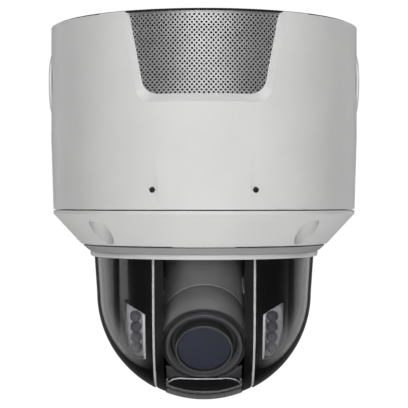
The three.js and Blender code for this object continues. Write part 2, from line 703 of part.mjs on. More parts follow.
function turningDeck() {
  // A flanged dish with a hollow hub above it and a lip below its rim.
  const foot = DECK_Z - DECK_THICKNESS;
  const roofTop = WELL_ROOF_Z + 3;
  const dish = lathe([
    [HUB_BORE, WELL_ROOF_Z],
    [WELL_RADIUS, WELL_ROOF_Z],
    [WELL_RADIUS, foot],
    [54, foot],
    [54, DECK_LIP_Z],
    [58.2, DECK_LIP_Z],
    [58.2, foot],
    [58.5, foot],
    [58.5, DECK_Z],
    [WELL_RADIUS + 3, DECK_Z],
    [WELL_RADIUS + 3, roofTop],
    [HUB_OUTER, roofTop],
    [HUB_OUTER, HUB_TOP_Z],
    [HUB_BORE, HUB_TOP_Z],
    [HUB_BORE, WELL_ROOF_Z],
  ]);
  return dish.subtract(bar("z", 4, WELL_ROOF_Z - 1, roofTop + 1, [0, 28]));
}

function panPulley() {
  return ring(HUB_OUTER + GAP, PAN_PULLEY_RADIUS, BELT_Z[0], BELT_Z[1]);
}

function slipRingRotor() {
  return bar("z", 8, WELL_ROOF_Z + 1, CHASSIS_Z + 7.6, [0, 0], 24);
}

function yokeArm(sign) {
  const span = sideSpan(sign, ARM_INNER, ARM_OUTER);
  const top = WELL_ROOF_Z - GAP;
  const outline = [
    [-15, top],
    [-15, -122],
    [-9, TILT_Z - 6],
    [-5, TILT_Z - 9.5],
    [5, TILT_Z - 9.5],
    [9, TILT_Z - 6],
    [15, -122],
    [15, top],
  ];
  const blade = slabThroughX(outline, span);
  const foot = box(sideSpan(sign, ARM_INNER, ARM_OUTER + 5), [-13, 13], [top - 2.5, top]);
  const bore = bar("x", TRUNNION_RADIUS + GAP, span[0] - 1, span[1] + 1, [0, TILT_Z]);
  return blade.add(foot).subtract(bore);
}

// A shelf on the right arm and the plate hanging from it, which the tilt motor bolts to.
function motorBracket() {
  const top = DECK_Z - DECK_THICKNESS - GAP;
  const { y, z, radius } = TILT_MOTOR;
  const shelf = box([ARM_OUTER - 1, 35.1], [-4, y + radius], [top - 2.5, top]);
  const plate = box([33.9, 35.1], [y - radius, y + radius], [z - radius, top - 1]);
  return shelf.add(plate).subtract(bar("x", 3.4, 30, 50, [y, z]));
}

function tiltMotor() {
  const { y, z, radius } = TILT_MOTOR;
  const can = bar("x", radius - 0.3, 35.4, 48, [y, z], 32);
  const shaft = bar("x", 1.5, TILT_BELT_X[0], 36, [y, z], 12);
  return can.add(shaft);
}

function tiltMotorPulley() {
  const { y, z, pulley } = TILT_MOTOR;
  const wheel = bar("x", pulley, ...TILT_BELT_X, [y, z]);
  return wheel.subtract(bar("x", 1.8, TILT_BELT_X[0] - 1, TILT_BELT_X[1] + 1, [y, z], 12));
}

function tiltBelt() {
  const big = { a: 0, b: TILT_Z, radius: TILT_PULLEY_RADIUS };
  const small = { a: TILT_MOTOR.y, b: TILT_MOTOR.z, radius: TILT_MOTOR.pulley };
  return belt("x", [TILT_BELT_X[0] + 0.4, TILT_BELT_X[1] - 0.4], big, small, 1);
}

// ---- Camera module, built level with the lens facing -Y and the tilt axis at its origin -------

// A ring about the optical axis, from u0 back to u1 in front of the tilt axis.
function opticRing(inner, outer, u1, u0, facets = 28) {
  const tube = bar("y", outer, -u0, -u1, [0, -OPTIC_DROP], facets);
  return inner > 0 ? tube.subtract(bar("y", inner, -u0 - 1, -u1 + 1, [0, -OPTIC_DROP], facets)) : tube;
}

function rearHousing() {
  const wall = 1.8;
  const shell = opticRing(0, MODULE_RADIUS, MODULE_REAR, SEAM_U - 0.25);
  const hollow = opticRing(0, MODULE_RADIUS - wall, MODULE_REAR + wall, SEAM_U + 1);
  const cableSlot = box([-8, 8], [-MODULE_REAR - 4, -MODULE_REAR + 2], [-16, -10]);
  const reach = { left: 30.5, right: 34 };
  const trunnions = SIDES.flatMap(([side, sign]) => [
    bar("x", 8, ...sideSpan(sign, 21.4, 24.8), [0, 0]),
    bar("x", TRUNNION_RADIUS, ...sideSpan(sign, 24, reach[side]), [0, 0]),
  ]);
  return joined([cutBy(shell, [hollow, cableSlot]), ...trunnions]);
}

function lensHood() {
  const body = opticRing(BEZEL_RADIUS + 0.6, MODULE_RADIUS, SEAM_U + 0.25, HOOD_FRONT);
  const flange = opticRing(17.6, MODULE_RADIUS - 1, SEAM_U + 0.25, SEAM_U + 2.5);
  return body.add(flange);
}

function hoodBezel() {
  const band = opticRing(17.6, BEZEL_RADIUS, HOOD_FRONT - 6, BEZEL_FRONT);
  const dish = new THREE.CylinderGeometry(17.6, 19.2, 3, 28);
  return band.subtract(solid(dish.translate(0, -BEZEL_FRONT + 1, -OPTIC_DROP)));
}

function lensBarrel() {
  // The fixed barrel, open at the front for the glass and at the back for the sensor.
  const outer = opticRing(0, 17.2, -20, HOOD_FRONT - 2);
  const bore = opticRing(0, 13.6, -18.5, HOOD_FRONT + 1);
  const window = box([-6, 6], [17, 22], [-OPTIC_DROP - 5, -OPTIC_DROP + 5]);
  const filterRoom = box([-20, 20], [9.2, 12.8], [-OPTIC_DROP - 9, -OPTIC_DROP + 9]);
  const nose = opticRing(GLASS_RADIUS, LENS_RING_RADIUS, HOOD_FRONT - 3, LENS_RING_FRONT);
  return cutBy(outer, [bore, window, filterRoom]).add(nose);
}

function frontGlass() {
  const disc = opticRing(0, GLASS_RADIUS - GAP, HOOD_FRONT - 1.5, LENS_RING_FRONT - 1.2);
  return disc;
}

function lensGroup(radius, u0, u1) {
  const cell = opticRing(radius - 2, radius, u0, u1, 20);
  const lens = opticRing(0, radius - 1.5, u0 + 1, u1 - 1, 20);
  return cell.add(lens);
}

function irCutFilter() {
  // A slide with the filter in one half and a clear opening in the other.
  const slide = box([-7.5, 18], [10.2, 11.8], [-OPTIC_DROP - 7.5, -OPTIC_DROP + 7.5]);
  return slide.subtract(bar("y", 5.2, 8, 14, [10.8, -OPTIC_DROP], 20));
}

function sensorBoard() {
  const board = box([-16, 16], [24, 25.6], [-OPTIC_DROP - 12, -OPTIC_DROP + 12]);
  const sensor = box([-5, 5], [21, 24.4], [-OPTIC_DROP - 4, -OPTIC_DROP + 4]);
  return board.add(sensor);
}

function tiltPulley() {
  const wheel = bar("x", TILT_PULLEY_RADIUS, ...TILT_BELT_X, [0, 0], 28);
  return wheel.subtract(bar("x", TRUNNION_RADIUS + GAP, TILT_BELT_X[0] - 1, TILT_BELT_X[1] + 1));
}

// A wedge through the tilt axis, between two angles below the optical axis.
function wedgeBelow(low, high, halfWidth) {
  const reach = 80;
  const outline = [[0, 0]];
  for (const degrees of [high, (low + high) / 2, low]) {
    const turn = THREE.MathUtils.degToRad(degrees);
    outline.push([-reach * Math.cos(turn), -reach * Math.sin(turn)]);
  }
  return slabThroughX(outline, [-halfWidth, halfWidth]);
}

function sphereShell(inner, outer) {
  const ball = (radius) => solid(new THREE.SphereGeometry(radius, ROUND, 24));
  return ball(outer).subtract(ball(inner));
}

// A curved shield below the lens that follows the inside of the dome.
function chinShield() {
  return sphereShell(53.7, 55.4).intersect(wedgeBelow(29, 66, 20.9));
}

// The pale bracket under the hood that carries the shield.
function chinBracket() {
  const front = sphereShell(51.6, 53.1).intersect(wedgeBelow(31, 42, 20.4));
  const under = -OPTIC_DROP - MODULE_RADIUS - GAP;
  const tongue = box([-12, 12], [-45, -10], [under - 1.4, under]);
  return front.add(tongue.intersect(solid(new THREE.SphereGeometry(53, ROUND, 24))));
}

// ---- Assembly --------------------------------------------------------------------------------

function housingGroup() {
  const group = new THREE.Group();
  group.add(
    part("back_plate", backPlate(), "castAlloy"),
    part("rim_gasket", rimGasket(), "rubber"),
    part("upper_shell", upperShell(), "housing"),
    part("speaker_grille", speakerGrille(), "grille"),
    part("speaker_box", speakerBox(), "blackPlastic"),
    part("speaker_driver", speakerDriver(), "blackPlastic"),
    part("base_ring", baseRing(), "housing"),
    part("base_seal", ring(81.4, 82.6, BASE_TOP_Z - 1.2, SEAM_Z - GAP), "rubber"),
    part("trim_ring", trimRing(), "trim"),
    part("dome_lip_seal", ring(58.9, TRIM_BORE - GAP, -117.5, -113.8), "rubber"),
    part("main_board", mainBoard(), "board"),
    part("heat_sink", heatSink(), "castAlloy"),
    part("io_board", ioBoard(), "board"),
    part("memory_card", memoryCard(), "blackPlastic"),
    part("cable_grommet", cableGrommet(), "rubber"),
    part("chassis_plate", chassis(), "castAlloy"),
    part("pan_bearing_outer", ring(24.4, 29, CHASSIS_Z - GAP, CHASSIS_Z + 6), "steel"),
    part("pan_motor", panMotor(), "blackPlastic"),
    part("pan_belt", panBelt(), "rubber"),
    part("slip_ring_stator", slipRingStator(), "greyPlastic"),
  );
  for (const [side, sign] of SIDES) {
    group.add(part(`conduit_plug_${side}`, conduitPlug(sign), "housing"));
    group.add(part(`microphone_${side}`, microphone(sign), "blackPlastic"));
  }
  SCREW_ANGLES.forEach((degrees, i) => {
    group.add(part(`base_screw_${i + 1}`, baseScrew(degrees), "steel"));
  });
  return group;
}

function headGroup() {
  const group = new THREE.Group();
  group.add(
    part("turning_deck", turningDeck(), "castAlloy"),
    part("pan_bearing_inner", ring(HUB_OUTER + GAP, 24, CHASSIS_Z, CHASSIS_Z + 6), "steel"),
    part("pan_pulley", panPulley(), "greyPlastic"),
    part("slip_ring_rotor", slipRingRotor(), "brass"),
    part("centre_window", centreWindow(), "clear"),
    part("head_frame", headFrame(), "glossBlack"),
    part("tilt_motor", tiltMotor(), "blackPlastic"),
    part("tilt_belt", tiltBelt(), "rubber"),
  );
  for (const [side, sign] of SIDES) {
    group.add(
      part(`side_window_${side}`, sideWindow(sign), "clear"),
      part(`head_shroud_${side}`, headShroud(sign), "glossBlack"),
      part(`ir_window_${side}`, irWindow(sign), "tinted"),
      part(`ir_board_${side}`, irBoard(sign), "board"),
    );
  }
  group.add(
    part("yoke_arm_left", yokeArm(-1), "castAlloy"),
    part("yoke_arm_right", yokeArm(1).add(motorBracket()), "castAlloy"),
  );
  return group;
}

function cameraModule() {
  const group = new THREE.Group();
  group.add(
    part("rear_housing", rearHousing(), "blackPlastic"),
    part("lens_hood", lensHood(), "blackPlastic"),
    part("hood_bezel", hoodBezel(), "blackPlastic"),
    part("lens_barrel", lensBarrel(), "blackPlastic"),
    part("front_glass", frontGlass(), "glass"),
    part("zoom_group", lensGroup(12.4, -2, 6), "blackPlastic"),
    part("focus_group", lensGroup(12.4, 26, 32), "blackPlastic"),
    part("ir_cut_filter", irCutFilter(), "tinted"),
    part("sensor_board", sensorBoard(), "board"),
    part("tilt_pulley", tiltPulley(), "greyPlastic"),
    part("chin_shield", chinShield(), "glossBlack"),
    part("chin_bracket", chinBracket(), "castAlloy"),
  );
  group.position.set(0, 0, TILT_Z);
  group.rotation.x = THREE.MathUtils.degToRad(TILT_REST);
  return group;
}

const camera = new THREE.Group();
camera.add(
  housingGroup(),
  headGroup(),
  cameraModule(),
  part("pan_motor_pulley", panMotorPulley(), "greyPlastic"),
  part("tilt_motor_pulley", tiltMotorPulley(), "greyPlastic"),
);

export default camera;
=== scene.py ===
import json
import math

import bmesh
import bpy
from mathutils import Matrix, Vector
from mathutils.geometry import delaunay_2d_cdt

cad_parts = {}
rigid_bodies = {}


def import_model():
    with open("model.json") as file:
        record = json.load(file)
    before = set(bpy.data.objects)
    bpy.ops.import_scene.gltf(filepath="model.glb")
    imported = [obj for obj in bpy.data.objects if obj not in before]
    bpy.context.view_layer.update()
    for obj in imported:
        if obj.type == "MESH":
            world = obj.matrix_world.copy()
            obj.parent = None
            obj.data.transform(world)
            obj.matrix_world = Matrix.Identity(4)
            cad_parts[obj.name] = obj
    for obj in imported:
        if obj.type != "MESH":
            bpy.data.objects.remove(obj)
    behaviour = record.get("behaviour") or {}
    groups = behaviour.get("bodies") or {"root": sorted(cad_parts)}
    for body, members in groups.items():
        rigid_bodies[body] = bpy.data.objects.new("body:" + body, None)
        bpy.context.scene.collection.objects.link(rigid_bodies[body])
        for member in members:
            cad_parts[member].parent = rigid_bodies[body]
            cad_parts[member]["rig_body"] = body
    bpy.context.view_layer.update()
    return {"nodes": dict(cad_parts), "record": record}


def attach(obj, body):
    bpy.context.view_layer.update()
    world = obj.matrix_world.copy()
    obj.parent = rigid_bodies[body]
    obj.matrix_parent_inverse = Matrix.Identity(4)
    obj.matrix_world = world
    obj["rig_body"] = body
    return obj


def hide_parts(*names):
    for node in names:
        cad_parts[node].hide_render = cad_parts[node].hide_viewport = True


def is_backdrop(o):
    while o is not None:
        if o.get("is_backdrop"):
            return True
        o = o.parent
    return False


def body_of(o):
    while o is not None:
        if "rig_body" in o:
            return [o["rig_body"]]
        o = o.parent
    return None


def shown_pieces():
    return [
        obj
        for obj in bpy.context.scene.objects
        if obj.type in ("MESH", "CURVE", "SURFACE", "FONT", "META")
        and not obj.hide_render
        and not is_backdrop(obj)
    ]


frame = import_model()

# ---- Dimensions shared with the CAD ----

MM = 0.001
GAP = 0.3
FINE = 192  # steps round the housing and the dome
SMALL = 64  # steps round the lens, the screws and other small pieces

HOUSING_RADIUS = 85
HOUSING_FOOT_RADIUS = 83.8
HOUSING_WALL = 3
RIM_Z = -0.95
PILLAR_Z = -0.45
DRAFT_START_Z = -62.4
SEAM_Z = -100.6
GASKET_RADIUS = 83
GASKET_WIDTH = 3
PLATE_RADIUS = GASKET_RADIUS - GASKET_WIDTH - GAP
PLATE_THICKNESS = 6
LINER_RADIUS = 78.2
BAY = {"half": 34, "front": 28, "rear": 64, "depth": 24, "wall": 2}
GROMMET = {"y": 56, "z": -13, "neck": 4.4, "flange": 6.4, "bore": 2.5}
MOUNT_PITCH_RADIUS = 62

GRILLE_RADIUS = 81.3
GRILLE_SHEET = 0.8
OPENING = (38.1, 30, -42.4)  # half width at the top, half width at the foot, foot height
BEVEL = (41.4, 33.4, -46.6)
OPENING_CORNER = 8
HOLE_PITCH = 2.4
ROW_PITCH = 1.297
HOLE_RADIUS = 0.6
FIRST_ROW_Z = -2.9
ROWS = 31

PLUG_Z = -31.1
PLUG_RADIUS = 17.4
PLUG_BULGE = 1.15
PLUG_STEM_RADIUS = 12
PLUG_SEAT_X = 83.2
MIC_X = 26
MIC_Z = -90.6
MIC_HOLE_RADIUS = 1.5

BASE_TOP_Z = -101.15
BASE_EDGE_Z = -103
BASE_BOTTOM_Z = -119.55
BASE_BOTTOM_RADIUS = 68.5
BASE_BORE = 64.3
POCKET_PITCH_RADIUS = 75.5
POCKET_RADIUS = 6.6
POCKET_ROOF_Z = -105.7
COUNTERBORE_RADIUS = 4.7
COUNTERBORE_Z = -102.5
SCREW_HOLE_RADIUS = 2.3
SCREW_ANGLES = (45, 135, 225, 315)
TONGUE_HALF = 16
TRIM_TOP_Z = -120.2
TRIM_BOTTOM_Z = -126.5
TRIM_BORE = 61.9
TRIM_ROOT_Z = -113.8
TRIM_LIP_Z = -123.75

DOME_TOP_RADIUS = 61.1
DOME_RADIUS = 59.7
DOME_WALL = 2.5
DOME_TOP_Z = -119
DOME_LIP_Z = -126.5
TILT_Z = -146.9
WINDOW_HALF = 21
RIB_INNER = 21.3
RIB_OUTER = 25.6
SIDE_INNER = 25.9
BACK_COVER_Y = 22
DECK_LIP_Z = -122.4
POD_EDGE = 27.6
POD_INNER = 29.5
POD_FACE = 40.4
POD_OUTER = 43.2
POD_SHOULDER = 48.6
SHROUD_TOP_Z = -124
SHROUD_INSIDE = 6.6
EDGE_STEP = 1.1
LED_X = 36.7
LED_DROP = 30
LAMP_Z = -165.2
LED_PITCH = 6.8
LED_COUNT = 4
LED_HEIGHTS = [((LED_COUNT - 1) / 2 - i) * LED_PITCH for i in range(LED_COUNT)]

TILT_REST = 30
OPTIC_DROP = 2.8
MODULE_RADIUS = 22.8
LIP_Z = -200.9
BAND_END = 80  # degrees below the horizon at rest, where the chin shield's painted highlight band ends
HOOD_FRONT = 46.6
SEAM_U = 23
MODULE_REAR = -34
BEZEL_RADIUS = 20.5
BEZEL_FRONT = 48.5
BARREL_RADIUS = 17.2
HOOD_BORE = 17.6
LENS_RING_RADIUS = 15.3
LENS_RING_FRONT = 51.3
GLASS_RADIUS = 14.2
TRUNNION_RADIUS = 4

SIDES = (("left", -1), ("right", 1))

# ---- Mesh tools ----


def solid(verts, faces):
    """A closed mesh object whose faces point out."""
    mesh = bpy.data.meshes.new("solid")
    mesh.from_pydata([tuple(v) for v in verts], [], faces)
    bm = bmesh.new()
    bm.from_mesh(mesh)
    bmesh.ops.remove_doubles(bm, verts=bm.verts, dist=1e-5)
    bmesh.ops.recalc_face_normals(bm, faces=bm.faces)
    bm.to_mesh(mesh)
    bm.free()
    obj = bpy.data.objects.new("solid", mesh)
    bpy.context.scene.collection.objects.link(obj)
    return obj


def rounded(points, closed=True, steps=4):
    """A profile of [a, b] or [a, b, fillet radius] corners with its fillets drawn in."""
    profile = []
    count = len(points)
    for i, point in enumerate(points):
        radius = point[2] if len(point) > 2 else 0
        corner = Vector(point[:2])
        if radius <= 0 or (not closed and i in (0, count - 1)):
            profile.append(tuple(corner))
            continue
        before = Vector(points[i - 1][:2]) - corner
        after = Vector(points[(i + 1) % count][:2]) - corner
        u, v = before.normalized(), after.normalized()
        half = u.angle(v) / 2
        reach = min(radius / math.tan(half), before.length * 0.48, after.length * 0.48)
        radius = reach * math.tan(half)
        centre = corner + (u + v).normalized() * (radius / math.sin(half))
        first = corner + u * reach - centre
        last = corner + v * reach - centre
        turn = math.atan2(first.x * last.y - first.y * last.x, first.dot(last))
        for k in range(steps + 1):
            angle = turn * k / steps
            c, s = math.cos(angle), math.sin(angle)
            profile.append(
                (centre.x + first.x * c - first.y * s, centre.y + first.x * s + first.y * c)
            )
    return profile


def lathe(profile, steps=FINE):
    """Turns a profile of (radius, z) about Z. It is a closed loop, or it runs from axis to axis."""
    verts, rings = [], []
    turns = [2 * math.pi * k / steps for k in range(steps)]
    for r, z in profile:
        if r < 1e-6:
            rings.append([len(verts)] * steps)
            verts.append((0, 0, z))
        else:
            rings.append(list(range(len(verts), len(verts) + steps)))
            verts += [(r * math.cos(t), r * math.sin(t), z) for t in turns]
    pairs = list(zip(rings, rings[1:]))
    if profile[0][0] > 1e-6:
        pairs.append((rings[-1], rings[0]))
    faces = []
    for low, high in pairs:
        for k in range(steps):
            n = (k + 1) % steps
            face = list(dict.fromkeys((low[k], low[n], high[n], high[k])))
            if len(face) > 2:
                faces.append(face)
    return solid(verts, faces)


def turned_form(*corners, **options):
    """Turns a profile of (radius, z) or (radius, z, fillet radius) corners about Z."""
    return lathe(rounded(corners, **options))


def ring(inner, outer, z0, z1, fillet=0):
    return turned_form(
        (inner, z0, fillet), (outer, z0, fillet), (outer, z1, fillet), (inner, z1, fillet)
    )


def ball(radius):
    turns = [math.pi * i / SMALL for i in range(1, SMALL)]
    profile = [(radius * math.sin(t), radius * math.cos(t)) for t in turns]
    return lathe([(0, radius)] + profile + [(0, -radius)], 160)


def moved(obj, matrix):
    obj.data.transform(matrix)
    return obj


def shift(x, y, z):
    return Matrix.Translation((x, y, z))


def turned(axis, degrees):
    return Matrix.Rotation(math.radians(degrees), 4, axis)


def box(xs, ys, zs, fillet=0):
    verts = [(x, y, z) for x in xs for y in ys for z in zs]
    faces = [(0, 1, 3, 2), (4, 6, 7, 5), (0, 4, 5, 1), (2, 3, 7, 6), (0, 2, 6, 4), (1, 5, 7, 3)]
    made = solid(verts, faces)
    return eased(made, fillet) if fillet else made


AXES = {"x": turned("Y", 90), "y": turned("X", -90), "z": Matrix.Identity(4)}


def turning(axis, profile, centre=(0, 0), steps=SMALL):
    """Turns a profile of (radius, height) about an axis along +x, +y or +z through centre."""
    a, b = centre
    place = {"x": shift(0, a, b), "y": shift(a, 0, b), "z": shift(a, b, 0)}[axis]
    return moved(lathe(profile, steps), place @ AXES[axis])


def bar(axis, radius, low, high, centre=(0, 0), steps=SMALL, fillet=0):
    corners = [(0, low), (radius, low, fillet), (radius, high, fillet), (0, high)]
    return turning(axis, rounded(corners, closed=False), centre, steps)


def prism(outline, place):
    """A flat outline of (a, b) pushed from 0 to 1, then placed by a matrix."""
    n = len(outline)
    verts = [(a, b, h) for h in (0, 1) for a, b in outline]
    faces = [tuple(range(n)), tuple(range(n, 2 * n))]
    faces += [(i, (i + 1) % n, n + (i + 1) % n, n + i) for i in range(n)]
    return solid([place @ Vector(v) for v in verts], faces)


def slab_y(outline, span):
    """An outline of (x, z) pushed along Y."""
    low, high = span
    place = Matrix(((1, 0, 0, 0), (0, 0, high - low, low), (0, 1, 0, 0), (0, 0, 0, 1)))
    return prism(outline, place)


def slab_x(outline, span):
    """An outline of (y, z) pushed along X."""
    low, high = span
    place = Matrix(((0, 0, high - low, low), (1, 0, 0, 0), (0, 1, 0, 0), (0, 0, 0, 1)))
    return prism(outline, place)


def evaluated(obj):
    """Puts the modifiers into the mesh."""
    graph = bpy.context.evaluated_depsgraph_get()
    made = bpy.data.meshes.new_from_object(obj.evaluated_get(graph))
    old = obj.data
    obj.modifiers.clear()
    obj.data = made
    bpy.data.meshes.remove(old)
    return obj


def combine(body, tools, operation):
    for tool in tools:
        step = body.modifiers.new("step", "BOOLEAN")
        step.operation = operation
        step.solver = "MANIFOLD"
        step.object = tool
        evaluated(body)
        if not body.data.polygons:
            raise RuntimeError(f"nothing is left after {operation}")
        bpy.data.objects.remove(tool)
    return body


def cut(body, *tools):
    return combine(body, tools, "DIFFERENCE")


def joined(body, *others):
    return combine(body, others, "UNION")


def clipped(body, *tools):
    return combine(body, tools, "INTERSECT")


def eased(obj, width, angle=40, steps=2):
    """Rounds every edge sharper than an angle."""
    step = obj.modifiers.new("ease", "BEVEL")
    step.width = width
    step.segments = steps
    step.limit_method = "ANGLE"
    step.angle_limit = math.radians(angle)
    step.use_clamp_overlap = True
    return evaluated(obj)


def two_looks(obj, in_second):
    """Gives the faces whose centre passes a test the second of a piece's looks."""
    obj.data.materials.append(None)
    obj.data.materials.append(None)
    for polygon in obj.data.polygons:
        polygon.material_index = int(in_second(polygon.center))
    return obj


def at_angle(radius, degrees):
    turn = math.radians(degrees)
    return radius * math.cos(turn), radius * math.sin(turn)


SCREW_CENTRES = [at_angle(POCKET_PITCH_RADIUS, degrees) for degrees in SCREW_ANGLES]


def side_span(sign, inner, outer):
    return (inner, outer) if sign > 0 else (-outer, -inner)


# ---- Materials ----


class Shade:
    """A small builder for node materials. Textures use the object's own coordinates, in metres."""

    def __init__(self, name):
        self.material = bpy.data.materials.new(name)
        self.material.use_nodes = True
        self.tree = self.material.node_tree
        self.surface = self.tree.nodes["Principled BSDF"]
        self.output = self.tree.nodes["Material Output"]
        self.place = self.node("ShaderNodeTexCoord").outputs["Object"]

    def node(self, kind, **values):
        made = self.tree.nodes.new(kind)
        for key, value in values.items():
            if hasattr(made, key):
                setattr(made, key, value)
            else:
                made.inputs[key.replace("_", " ")].default_value = value
        return made

    def link(self, source, target):
        self.tree.links.new(source, target)

    def set(self, **values):
        for key, value in values.items():
            socket = self.surface.inputs[key.replace("_", " ")]
            socket.default_value = (*value, 1) if isinstance(value, tuple) else value
        return self

    def stretched(self, x, y, z):
        made = self.node("ShaderNodeMapping", Scale=(x, y, z))
        self.link(self.place, made.inputs["Vector"])
        return made.outputs["Vector"]

    def noise(self, size, detail=3, place=None):
        """Noise whose features are about size metres across."""
        made = self.node("ShaderNodeTexNoise", Scale=1 / size, Detail=detail)
        self.link(place or self.place, made.inputs["Vector"])
        return made.outputs["Fac"]

    def cells(self, size, feature="F1"):
        made = self.node("ShaderNodeTexVoronoi", Scale=1 / size, feature=feature)
        self.link(self.place, made.inputs["Vector"])
        return made.outputs["Distance"]

    def mapped(self, source, low, high, start=0.3, end=0.7):
        limits = {"From_Min": start, "From_Max": end, "To_Min": low, "To_Max": high}
        made = self.node("ShaderNodeMapRange", **limits)
        self.link(source, made.inputs["Value"])
        return made.outputs["Result"]

    def tones(self, source, dark, light, start=0.35, end=0.65):
        """Colour that wanders between two tones."""
        ramp = self.node("ShaderNodeValToRGB")
        stops = ramp.color_ramp.elements
        for stop, place, tone in zip(stops, (start, end), (dark, light)):
            stop.position = place
            stop.color = (*tone, 1)
        self.link(source, ramp.inputs["Fac"])
        self.link(ramp.outputs["Color"], self.surface.inputs["Base Color"])
        return self

    def rough(self, source, low, high):
        self.link(self.mapped(source, low, high), self.surface.inputs["Roughness"])
        return self

    def bumped(self, source, depth, strength=1.0, under=None):
        """Relief of about depth metres. Another bump can lie under it."""
        made = self.node("ShaderNodeBump", Strength=strength, Distance=depth)
        self.link(source, made.inputs["Height"])
        if under is not None:
            self.link(under, made.inputs["Normal"])
        self.link(made.outputs["Normal"], self.surface.inputs["Normal"])
        return made.outputs["Normal"]


def moulded_plastic(name, dark, light, low, high, grain=0.0004, depth=0.00002):
    """Injection-moulded plastic: a fine spark-eroded grain over very slight waviness."""
    shade = Shade(name)
    shade.tones(shade.noise(0.03), dark, light)
    shade.rough(shade.noise(0.004), low, high)
    wavy = shade.bumped(shade.noise(0.02, detail=1), 0.00006, 0.25)
    shade.bumped(shade.noise(grain, detail=2), depth, 0.6, under=wavy)
    return shade


def glossy_black(name, base=(0.006, 0.006, 0.0065), low=0.05, high=0.11):
    """Polished black plastic with faint wiping marks."""
    shade = Shade(name)
    shade.tones(shade.noise(0.02), base, tuple(v * 1.6 for v in base))
    shade.rough(shade.noise(0.012, place=shade.stretched(1, 1, 0.25)), low, high)
    shade.bumped(shade.noise(0.018, detail=1), 0.00004, 0.15)
    shade.set(Coat_Weight=0.6, Coat_Roughness=0.03, Specular_IOR_Level=0.5)
    return shade


def satin_black(name):
    """Black plastic with a soft sheen, slightly uneven where it was wiped."""
    shade = Shade(name)
    shade.tones(shade.noise(0.02), (0.006, 0.006, 0.0065), (0.01, 0.01, 0.0105))
    shade.rough(shade.noise(0.012, place=shade.stretched(1, 1, 0.25)), 0.17, 0.22)
    shade.bumped(shade.noise(0.018, detail=1), 0.00003, 0.1)
    shade.set(Specular_IOR_Level=0.8)
    return shade


def cast_metal(name, dark, light):
    """Die-cast alloy, shot-blasted: matt, pitted and slightly mottled."""
    shade = Shade(name)
    shade.tones(shade.noise(0.012, detail=5), dark, light)
    shade.rough(shade.noise(0.003), 0.42, 0.6)
    pitted = shade.bumped(shade.cells(0.0011), 0.00006, 0.5)
    shade.bumped(shade.noise(0.0005, detail=4), 0.00005, 0.8, under=pitted)
    shade.set(Metallic=0.85)
    return shade


def machined_metal(name, dark, light):
    """Turned or drawn metal with fine lines along one way."""
    shade = Shade(name)
    lines = shade.noise(0.004, detail=4, place=shade.stretched(2, 2, 60))
    shade.tones(lines, dark, light)
    shade.rough(lines, 0.22, 0.4)
    shade.bumped(lines, 0.00002, 0.5)
    shade.set(Metallic=1.0)
    return shade


def rubber(name):
    shade = Shade(name)
    shade.tones(shade.noise(0.008), (0.012, 0.012, 0.012), (0.026, 0.026, 0.026))
    shade.rough(shade.noise(0.002), 0.7, 0.9)
    shade.bumped(shade.noise(0.0006), 0.00005, 0.7)
    return shade


def circuit_board(name):
    """Solder mask over a faint net of copper tracks."""
    shade = Shade(name)
    tracks = shade.cells(0.0022, "DISTANCE_TO_EDGE")
    shade.tones(tracks, (0.012, 0.09, 0.03), (0.006, 0.05, 0.018), 0.02, 0.1)
    shade.rough(shade.noise(0.003), 0.3, 0.45)
    shade.bumped(shade.mapped(tracks, 1, 0, 0.03, 0.08), 0.00005, 0.6)
    shade.set(Specular_IOR_Level=0.5)
    return shade


def clear_wall(name, tint, density, base_reflection=0.02):
    """A clear moulded window, dimmer the longer the way through it."""
    shade = Shade(name)
    tree = shade.tree
    tree.nodes.remove(shade.surface)
    facing = shade.node("ShaderNodeLayerWeight", Blend=0.5).outputs["Facing"]
    steep = shade.node("ShaderNodeMath", operation="POWER")
    share = shade.node("ShaderNodeMath", operation="MULTIPLY_ADD")
    shade.link(facing, steep.inputs[0])
    shade.link(steep.outputs[0], share.inputs[0])
    steep.inputs[1].default_value = 5
    share.inputs[1].default_value = 1 - base_reflection
    share.inputs[2].default_value = base_reflection
    through = shade.node("ShaderNodeBsdfTransparent", Color=(*tint, 1))
    shine = shade.node("ShaderNodeBsdfGlossy", Roughness=0.015)
    ripple = shade.node("ShaderNodeBump", Strength=0.1, Distance=0.00003)
    shade.link(shade.noise(0.02, detail=1), ripple.inputs["Height"])
    shade.link(ripple.outputs["Normal"], shine.inputs["Normal"])
    both = shade.node("ShaderNodeMixShader")
    shade.link(share.outputs[0], both.inputs["Fac"])
    shade.link(through.outputs[0], both.inputs[1])
    shade.link(shine.outputs[0], both.inputs[2])
    shade.link(both.outputs[0], shade.output.inputs["Surface"])
    smoke = shade.node("ShaderNodeVolumeAbsorption", Color=(0.06, 0.06, 0.065, 1), Density=density)
    shade.link(smoke.outputs[0], shade.output.inputs["Volume"])
    return shade


def painted_edge_highlight(name, light):
    """A pale opaque look for the narrow stepped edge of a clear sheet: a painted highlight standing
    in for the light that edge catches.
    """
    shade = Shade(name)
    shade.tones(shade.noise(0.002), tuple(v * 0.8 for v in light), light)
    shade.rough(shade.noise(0.001), 0.25, 0.4)
    shade.bumped(shade.noise(0.0007), 0.00003, 0.4)
    shade.set(Coat_Weight=0.5)
    return shade


def coated_lens(name):
    """A dark lens behind a blue and violet coating."""
    shade = Shade(name)
    shade.tones(shade.noise(0.012, detail=1), (0.022, 0.023, 0.024), (0.023, 0.023, 0.029))
    shade.rough(shade.noise(0.006), 0.02, 0.05)
    shade.set(
        Specular_IOR_Level=0.7,
        Coat_Weight=0.7,
        Coat_Roughness=0.02,
        Coat_Tint=(0.75, 0.8, 1.0),
    )
    return shade


